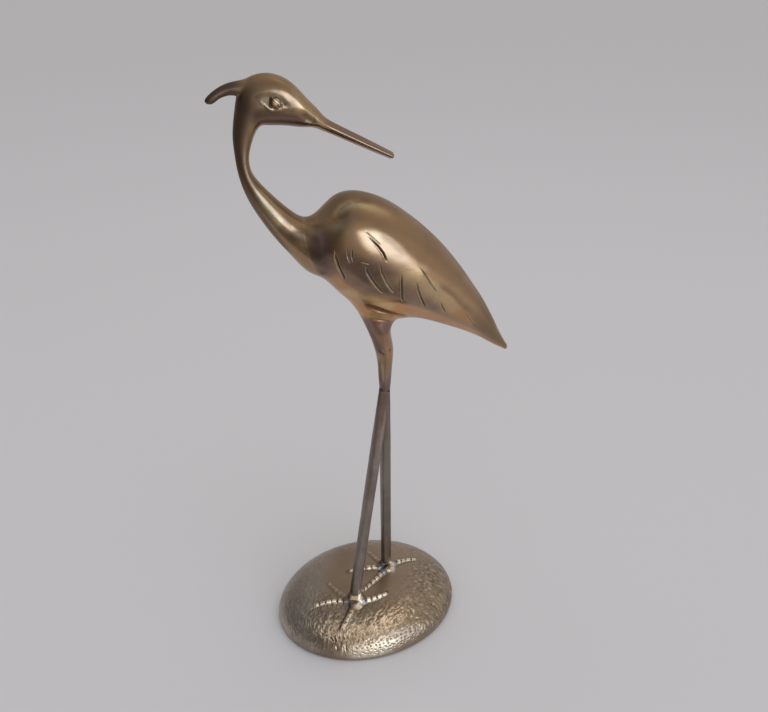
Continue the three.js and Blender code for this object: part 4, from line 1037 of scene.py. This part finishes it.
def build_base():
    ni, nj = 608, 480

    def place(i, j):
        u, v = i / ni * 2 - 1, j / nj * 2 - 1
        x, y = u * np.sqrt(1 - v ** 2 / 2), v * np.sqrt(1 - u ** 2 / 2)
        rho = np.minimum(np.hypot(x, y), 1)
        r = np.sin(rho * np.pi / 2) ** (2 / BASE_P)
        k = np.where(rho > 1e-6, r / np.maximum(rho, 1e-6), 0)
        return x * k * BASE_A, y * k * BASE_B, BASE_RIM + (BASE_H - BASE_RIM) * np.cos(rho * np.pi / 2)

    def need(i, j):
        x, y, z = place(i, j)
        level = np.full(len(x), 2)
        for path, length, name, key in TOES:
            d, u = to_line(x, y, path)
            level = np.where(d < 2.6, 3, level)
        r = np.hypot(x / BASE_A, y / BASE_B)
        toes_by = np.min([to_line(x, y, path)[0] for path, *_ in TOES], axis=0)
        level = np.where((r < 0.36) & (toes_by > 4), 1, level)
        for foot in FEET.values():
            level = np.where(np.hypot(x - foot["top"][0], y - foot["top"][1]) < 5.6, 3, level)
        return level

    ii, jj, faces, ident = fine_grid(ni, nj, 8, need, False)
    x, y, z = place(ii, jj)
    e = 1e-3
    nx = (dome_height(x - e, y) - dome_height(x + e, y)) / (2 * e)
    ny = (dome_height(x, y - e) - dome_height(x, y + e)) / (2 * e)
    n = unit(np.c_[nx, ny, np.ones(len(x))])
    r = np.hypot(x / BASE_A, y / BASE_B)
    rimward = smooth(0.985, 1.0, r)
    n = unit(n * (1 - rimward)[:, None] + rimward[:, None] * unit(np.c_[x / BASE_A ** 2, y / BASE_B ** 2, 0 * x]))
    feet, dirt_and_painted_shade, rub_and_painted_highlight, painted_sheen = feet_height(x, y)
    peb, hollow, tops = pebble(x, y, z)
    quiet = smooth(0.9, 0.15, np.abs(feet))
    p = np.c_[x, y, z] + n * (peb * (0.15 + 0.85 * quiet) - 0.10)[:, None]
    p[:, 2] += feet
    # painted shade in the pebbling's hollows
    dirt_and_painted_shade = np.maximum(dirt_and_painted_shade, 0.8 * hollow * quiet)
    # painted highlight on the pebbling's tops, weaker on the front right of the middle
    rub_and_painted_highlight = np.maximum(rub_and_painted_highlight, (0.42 - 0.30 * smooth(-12, 2, x) * smooth(-0.5, -0.8, y / BASE_B)) * tops * quiet)
    big = noise3(np.c_[x, y, z], 16.0, 61)
    # paler grey on the left, a painted reflection, and a little grey on the right
    grey = 0.9 * smooth(-0.32, -0.80, x / BASE_A - 0.35 * y / BASE_B + 0.12 * big)
    grey = np.maximum(grey, 0.26 * smooth(0.15, 0.55, x / BASE_A + 0.15 * y / BASE_B + 0.12 * big))
    # painted highlight low on the front rim
    lip = smooth(11.5, 7.5, z) * smooth(0.5, 2.6, z) * smooth(-0.45, -0.75, y / BASE_B) * smooth(-28, -18, x) * smooth(8, -8, x)
    rub_and_painted_highlight = np.maximum(rub_and_painted_highlight, (0.40 + 0.28 * smooth(7.5, 4.5, z)) * lip * (1 - hollow))
    # darker low on the left front, and a little on the front
    dirt_and_painted_shade = np.maximum(dirt_and_painted_shade, 0.24 * smooth(-27, -36, x) * smooth(-8, -18, y) * smooth(11, 6, z))
    dirt_and_painted_shade = np.maximum(dirt_and_painted_shade, 0.14 * smooth(2, 8, x) * smooth(36, 24, x) * smooth(-26, -33, y) * quiet)
    # painted golden reflection on the front and right
    gold = smooth(0.55, 0.9, r) * smooth(0.1, -0.5, y / BASE_B) * smooth(-0.35, 0.1, x / BASE_A) * (0.8 + 0.2 * big)
    marks = {"grime_and_painted_shade": [dirt_and_painted_shade], "wear_and_painted_highlight": [rub_and_painted_highlight], "tarnish_and_painted_light": [grey], "warm_and_painted_reflection": [np.clip(gold, 0, 1)], "painted_sheen": [painted_sheen]}
    pts, count = [p], len(p)

    # the rim and the underside run on from the grid's border
    ring = [(ni, b) for b in range(0, nj)] + [(ni - a, nj) for a in range(0, ni)] + [(0, nj - b) for b in range(0, nj)] + [(a, 0) for a in range(0, ni)]
    ring = [int(ident[a, b]) for a, b in ring if ident[a, b] >= 0]
    border = p[ring]
    ang = np.arctan2(border[:, 1] / BASE_B, border[:, 0] / BASE_A)
    out = unit(np.c_[np.cos(ang) / BASE_A, np.sin(ang) / BASE_B, 0 * ang])
    for zz, inset in ((0.85, -0.10), (0.55, -0.14), (0.3, -0.27), (0.12, -0.45), (0.0, -0.62)):
        q = np.c_[BASE_A * np.cos(ang), BASE_B * np.sin(ang), np.full(len(ang), zz)] + out * inset
        new = list(range(count, count + len(q)))
        pts.append(q)
        count += len(q)
        for k in range(len(ring)):
            faces.append((ring[k], ring[(k + 1) % len(ring)], new[(k + 1) % len(ring)], new[k]))
        ring = new
    edge = pts[-1]
    for s in (0.93, 0.8, 0.6, 0.4, 0.2):
        q = edge * np.array([s, s, 0])
        new = list(range(count, count + len(q)))
        pts.append(q)
        count += len(q)
        for k in range(len(ring)):
            faces.append((ring[k], ring[(k + 1) % len(ring)], new[(k + 1) % len(ring)], new[k]))
        ring = new
    faces.append(tuple(ring))
    # rim and underside: a faint painted highlight along the front rim, darker underneath
    for key, values in marks.items():
        rest = np.vstack(pts[1:])
        on_lip = smooth(0.25, -0.45, rest[:, 1] / BASE_B) * smooth(-34, -16, rest[:, 0]) * smooth(36, 12, rest[:, 0]) * (rest[:, 2] > 0.2)
        values.append({"grime_and_painted_shade": 0.35 * (rest[:, 2] < 0.2), "wear_and_painted_highlight": 0.15 * on_lip}.get(key, 0 * on_lip))
        marks[key] = np.concatenate(values)
    return make_mesh("base_dome", np.vstack(pts), faces, marks)


# ------------------------------------------------------------------- materials
def metal(name, seed, base, cloud, tarnish_and_painted_light, warm_and_painted_reflection, wear_and_painted_highlight, grime_and_painted_shade, rough, grain, streak, painted_sheen=None):
    """Old cast brass. The six colours are its face-on reflectance where it is plain, clouded, browned (tarnish, painted
    shade and painted dark reflection), warmer (warm tone and painted reflection), rubbed (wear and painted highlights)
    and dirty (grime and painted shade); an optional seventh colour is a painted sheen. The places come from the masks
    on the mesh."""
    mat = bpy.data.materials.new(name)
    mat.use_nodes = True
    nt = mat.node_tree
    n, l = nt.nodes, nt.links
    for x in list(n):
        n.remove(x)
    out = n.new("ShaderNodeOutputMaterial")
    bsdf = n.new("ShaderNodeBsdfPrincipled")
    l.new(bsdf.outputs["BSDF"], out.inputs["Surface"])
    bsdf.inputs["Metallic"].default_value = 1.0
    coord = n.new("ShaderNodeTexCoord")

    def noise(scale, detail=3.0, rough_=0.55, stretch=None, shift=0.0, turn=0.0):
        m = n.new("ShaderNodeMapping")
        m.inputs["Location"].default_value = (shift + seed * 0.37, seed * 0.11, seed * 0.23)
        m.inputs["Rotation"].default_value = (0, turn, 0)
        if stretch:
            m.inputs["Scale"].default_value = stretch
        l.new(coord.outputs["Object"], m.inputs["Vector"])
        t = n.new("ShaderNodeTexNoise")
        t.inputs["Scale"].default_value = scale
        t.inputs["Detail"].default_value = detail
        t.inputs["Roughness"].default_value = rough_
        l.new(m.outputs["Vector"], t.inputs["Vector"])
        return t.outputs["Fac"]

    def mask(key):
        a = n.new("ShaderNodeAttribute")
        a.attribute_name = key
        return a.outputs["Fac"]

    def spread(src, a, b, lo, hi):
        m = n.new("ShaderNodeMapRange")
        m.interpolation_type = "SMOOTHSTEP"
        for key, v in (("From Min", a), ("From Max", b), ("To Min", lo), ("To Max", hi)):
            m.inputs[key].default_value = v
        l.new(src, m.inputs["Value"])
        return m.outputs["Result"]

    def calc(kind, a, b):
        m = n.new("ShaderNodeMath")
        m.operation = kind
        m.use_clamp = kind != "SUBTRACT"
        for sock, v in zip(m.inputs, (a, b)):
            if hasattr(v, "links"):
                l.new(v, sock)
            else:
                sock.default_value = v
        return m.outputs["Value"]

    def mix(fac, a, b):
        m = n.new("ShaderNodeMix")
        m.data_type = "RGBA"
        for sock, v in (("Factor", fac), ("A", a), ("B", b)):
            q = [q for q in m.inputs if q.name == sock and (q.type == "RGBA" or (sock == "Factor" and q.type == "VALUE"))][0]
            if hasattr(v, "links"):
                l.new(v, q)
            else:
                q.default_value = (*v, 1) if isinstance(v, tuple) else v
        return [q for q in m.outputs if q.type == "RGBA"][0]

    blotch = noise(55, 4, 0.6)
    small = noise(420, 3, 0.6, shift=2.0)
    col = mix(spread(blotch, 0.42, 0.68, 0.0, 0.8), base, cloud)
    col = mix(calc("MULTIPLY", mask("tarnish_and_painted_light"), spread(small, 0.25, 0.7, 0.75, 1.0)), col, tarnish_and_painted_light)
    col = mix(calc("MULTIPLY", mask("warm_and_painted_reflection"), spread(blotch, 0.3, 0.7, 1.0, 0.75)), col, warm_and_painted_reflection)
    if painted_sheen:
        col = mix(calc("MULTIPLY", mask("painted_sheen"), spread(small, 0.3, 0.7, 0.7, 1.0)), col, painted_sheen)
    col = mix(calc("MULTIPLY", mask("wear_and_painted_highlight"), spread(small, 0.3, 0.7, 0.7, 1.0)), col, wear_and_painted_highlight)
    col = mix(spread(noise(1100, 2, 0.6, shift=5.0), 0.66, 0.80, 0.0, 0.45), col, grime_and_painted_shade)
    dirt_and_painted_shade = mask("grime_and_painted_shade")
    col = mix(dirt_and_painted_shade, col, grime_and_painted_shade)
    l.new(col, bsdf.inputs["Base Color"])
    # roughness: smears from handling and polishing, duller in the grime and painted shade
    smear = noise(150, 3, 0.6, stretch=(0.35, 1, 1), shift=1.7, turn=0.75)
    r1 = spread(smear, 0.3, 0.75, rough - 0.035, rough + 0.07)
    r2 = calc("ADD", r1, spread(dirt_and_painted_shade, 0.0, 1.0, 0.0, 0.22))
    r3 = calc("ADD", r2, spread(mask("tarnish_and_painted_light"), 0.0, 1.0, 0.0, 0.06))
    l.new(calc("ADD", r3, spread(mask("satin"), 0.0, 1.0, 0.0, 0.15)), bsdf.inputs["Roughness"])
    # bump: fine polishing marks lengthwise and casting grain
    marks = noise(700, 2, 0.6, stretch=(0.16, 1, 1), shift=2.2, turn=0.75)
    bump1 = n.new("ShaderNodeBump")
    bump1.inputs["Strength"].default_value = streak
    bump1.inputs["Distance"].default_value = 0.0003
    l.new(marks, bump1.inputs["Height"])
    bump2 = n.new("ShaderNodeBump")
    bump2.inputs["Strength"].default_value = grain
    bump2.inputs["Distance"].default_value = 0.0004
    l.new(noise(1300, 2, 0.6, shift=4.2), bump2.inputs["Height"])
    l.new(bump1.outputs["Normal"], bump2.inputs["Normal"])
    l.new(bump2.outputs["Normal"], bsdf.inputs["Normal"])
    return mat


# The bird's browned colour mostly stands in for painted shade and dark reflection, its warmer colour for painted
# reflection of the base, and its sheen colour for painted highlights; the base's sheen is a blue-grey painted
# reflection, its browned colour a paler grey that is painted reflection on the left, and its warmer colour a painted
# golden reflection.
mat_bird = metal("brass_bird", 1, (0.372, 0.246, 0.145), (0.318, 0.210, 0.126), (0.210, 0.144, 0.147), (0.700, 0.358, 0.160),
                 (0.620, 0.500, 0.330), (0.060, 0.040, 0.025), 0.20, 0.015, 0.05, painted_sheen=(0.875, 0.735, 0.445))
mat_leg = metal("brass_leg", 2, (0.240, 0.199, 0.176), (0.176, 0.147, 0.132), (0.150, 0.125, 0.110), (0.180, 0.128, 0.108),
                (0.640, 0.580, 0.470), (0.070, 0.055, 0.045), 0.36, 0.12, 0.10)
mat_base = metal("brass_base", 3, (0.352, 0.266, 0.190), (0.308, 0.236, 0.174), (0.500, 0.450, 0.405), (0.430, 0.335, 0.230),
                 (1.000, 0.910, 0.740), (0.080, 0.060, 0.046), 0.30, 0.10, 0.04, painted_sheen=(0.36, 0.40, 0.45))

# -------------------------------------------------------------------- assembly
bird = build_bird()
left_leg = build_leg("left_leg_rod", -LEG_SPACING_TOP / 2, FEET["left"])
right_leg = build_leg("right_leg_rod", LEG_SPACING_TOP / 2, FEET["right"])
base = build_base()
for obj, mat, node, slot in ((bird, mat_bird, "bird", "bird_brass"), (left_leg, mat_leg, "left_leg", "leg_patina"),
                             (right_leg, mat_leg, "right_leg", "leg_patina"), (base, mat_base, "base", "base_brass")):
    obj.data.materials.append(mat)
    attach(obj, "root")
    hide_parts(node)
    print(obj.name, "triangles", triangles(obj))

# ----------------------------------------------------------------------- stage
def stage_mat(name, colour, rough=0.9):
    m = bpy.data.materials.new(name)
    m.use_nodes = True
    b = m.node_tree.nodes["Principled BSDF"]
    b.inputs["Base Color"].default_value = (*colour, 1)
    b.inputs["Roughness"].default_value = rough
    return m


# The floor: a near part that the brass mirrors, and a far part that only fills the view.
near_ring = [(0.5 * math.cos(a * RAD), max(0.5 * math.sin(a * RAD), -0.14 - 1.2 * max(0.0, 0.5 * math.cos(a * RAD) - 0.03)), -0.0005) for a in range(0, 360, 6)]
far_ring = [(20 * math.cos(a * RAD), 20 * math.sin(a * RAD), -0.0005) for a in range(0, 360, 6)]
floor_skin = stage_mat("floor_pale", (0.64, 0.645, 0.665))
for name, corners, polygons in (("floor_near", near_ring, [tuple(range(60))]),
                                ("floor_far", near_ring + far_ring, [(k, (k + 1) % 60, 60 + (k + 1) % 60, 60 + k) for k in range(60)])):
    floor_mesh = bpy.data.meshes.new(name)
    floor_mesh.from_pydata(corners, [], polygons)
    floor = bpy.data.objects.new(name, floor_mesh)
    bpy.context.scene.collection.objects.link(floor)
    floor.data.materials.append(floor_skin)
    floor.visible_glossy = name == "floor_near"

WINDOW, SHADE = (-69.5, 2), (165, 4)      # azimuth and elevation of the window and of the dark side


def facing(azimuth, elevation):
    a, e = azimuth * RAD, elevation * RAD
    return (math.cos(e) * math.cos(a), math.cos(e) * math.sin(a), math.sin(e))


world = bpy.data.worlds.new("studio")
bpy.context.scene.world = world
world.use_nodes = True
wn, wl = world.node_tree.nodes, world.node_tree.links
bg = wn["Background"]
sky_dir = wn.new("ShaderNodeTexCoord").outputs["Generated"]


def sky_dot(v):
    d = wn.new("ShaderNodeVectorMath")
    d.operation = "DOT_PRODUCT"
    wl.new(sky_dir, d.inputs[0])
    d.inputs[1].default_value = v
    return d.outputs["Value"]


def sky_math(kind, a, b=0.0):
    m = wn.new("ShaderNodeMath")
    m.operation = kind
    for sock, v in zip(m.inputs, (a, b)):
        if hasattr(v, "links"):
            wl.new(v, sock)
        else:
            sock.default_value = v
    return m.outputs["Value"]


def sky_step(src, a, b, lo=0.0, hi=1.0):
    m = wn.new("ShaderNodeMapRange")
    m.interpolation_type = "SMOOTHSTEP"
    for key, v in (("From Min", a), ("From Max", b), ("To Min", lo), ("To Max", hi)):
        m.inputs[key].default_value = v
    wl.new(src, m.inputs["Value"])
    return m.outputs["Result"]


w_axis = Vector(facing(*WINDOW))
u_axis = Vector((-w_axis.y, w_axis.x, 0)).normalized()
v_axis = w_axis.cross(u_axis)
ahead = sky_math("MAXIMUM", sky_dot(w_axis), 0.02)
upward = sky_math("DIVIDE", sky_dot(v_axis), ahead)
lean = sky_math("ADD", sky_math("DIVIDE", sky_dot(u_axis), ahead), sky_math("MULTIPLY", upward, 0.28))
pane = sky_math("MULTIPLY", sky_step(sky_math("ABSOLUTE", lean), math.tan(25 * RAD), math.tan(13 * RAD)), sky_math("MULTIPLY", sky_step(upward, math.tan(25 * RAD), math.tan(13 * RAD)), sky_step(upward, -math.tan(23 * RAD), -math.tan(11 * RAD))))
glow = sky_math("ADD", sky_step(sky_dot(w_axis), 0.35, 1.0, 0.0, 0.20), sky_step(sky_dot(facing(-102, 18)), 0.76, 0.99, 0.0, 0.10))
height = sky_dot((0, 0, 1))
open_side = sky_step(sky_dot(facing(45, 0)), -0.3, 0.5, 0.0, 0.16)
dusk = sky_step(sky_dot(facing(*SHADE)), -0.15, 0.6, 0.0, 0.20)
band = sky_math("ABSOLUTE", sky_math("ADD", sky_dot((0.130, 0.927, -0.351)), 0.05))
strip = sky_math("MULTIPLY", sky_step(band, 0.30, 0.02, 0.0, 0.12), sky_step(height, 0.40, 0.65))
room = sky_math("SUBTRACT", sky_math("ADD", sky_math("ADD", open_side, strip), 0.33), dusk)
lit = sky_math("ADD", sky_math("ADD", room, glow), sky_math("MULTIPLY", pane, 2.58))
total = sky_math("ADD", sky_math("MULTIPLY", lit, sky_step(height, -0.53, -0.36)), sky_step(height, -0.36, -0.53, 0.0, 0.25))
total = sky_math("ADD", total, sky_step(sky_dot(facing(-50, -30)), 0.88, 0.99, 0.0, 0.29))
upper = sky_dot(facing(-158, 60))
total = sky_math("ADD", total, sky_step(upper, 0.78, 0.97, 0.0, 0.11))
tint = wn.new("ShaderNodeMix")
tint.data_type = "RGBA"
wl.new(sky_math("MAXIMUM", pane, sky_step(upper, 0.78, 0.97, 0.0, 0.55)), [q for q in tint.inputs if q.name == "Factor" and q.type == "VALUE"][0])
[q for q in tint.inputs if q.name == "A" and q.type == "RGBA"][0].default_value = (1.05, 0.98, 0.92, 1)
[q for q in tint.inputs if q.name == "B" and q.type == "RGBA"][0].default_value = (0.86, 1.03, 1.32, 1)
wl.new([q for q in tint.outputs if q.type == "RGBA"][0], bg.inputs["Color"])
seen = wn.new("ShaderNodeLightPath")
wl.new(sky_math("ADD", total, sky_math("MULTIPLY", seen.outputs["Is Diffuse Ray"], 0.26)), bg.inputs["Strength"])
plain = wn.new("ShaderNodeBackground")
plain.inputs["Color"].default_value = (0.50, 0.49, 0.48, 1)
swap = wn.new("ShaderNodeMixShader")
wl.new(seen.outputs["Is Camera Ray"], swap.inputs["Fac"])
wl.new(bg.outputs["Background"], swap.inputs[1])
wl.new(plain.outputs["Background"], swap.inputs[2])
wl.new(swap.outputs["Shader"], wn["World Output"].inputs["Surface"])

lamp = bpy.data.lights.new("overhead", "AREA")
lamp.shape, lamp.size, lamp.size_y, lamp.energy = "RECTANGLE", 1.6, 1.6, 3.5
lamp_obj = bpy.data.objects.new("overhead", lamp)
bpy.context.scene.collection.objects.link(lamp_obj)
lamp_obj.location = (0.1, -0.2, 1.5)
lamp_obj.visible_glossy = False

# small soft lights low in front, for the base only: they shine down, away from the bird
for name, wide, high_, watts, place, aim in (("low_soft", 0.17, 0.10, 0.060, (-0.058, -0.104, 0.140), (0.038, 0.072, -0.126)),
                                             ("lip_soft", 0.058, 0.024, 0.0050, (-0.016, -0.089, 0.015), (0.08, 0.80, -0.60)),
                                             ("toe_soft", 0.045, 0.04, 0.0120, (0.035, -0.064, 0.101), (-0.035, 0.054, -0.077))):
    soft = bpy.data.lights.new(name, "AREA")
    soft.shape, soft.size, soft.size_y, soft.energy = "RECTANGLE", wide, high_, watts
    soft.color = (1.0, 0.968, 0.865)
    soft_obj = bpy.data.objects.new(name, soft)
    bpy.context.scene.collection.objects.link(soft_obj)
    soft_obj.location = place
    soft_obj.rotation_mode = "QUATERNION"
    soft_obj.rotation_quaternion = Vector(aim).to_track_quat("-Z", "Y")
    soft_obj.visible_camera = False
    soft_obj.visible_diffuse = False

bpy.context.scene.view_settings.view_transform = "Standard"

cam_data = bpy.data.cameras.new("camera")
cam = bpy.data.objects.new("camera", cam_data)
bpy.context.scene.collection.objects.link(cam)
cam_data.lens, cam_data.sensor_width = 34.69, 36.0
cam_data.clip_start, cam_data.clip_end = 0.01, 20
cam.location = (-0.1009, -0.3080, 0.343)
cam.rotation_mode = "XYZ"
cam.rotation_euler = (math.radians(90 - 28.393), 0, math.radians(-20))
bpy.context.scene.camera = cam
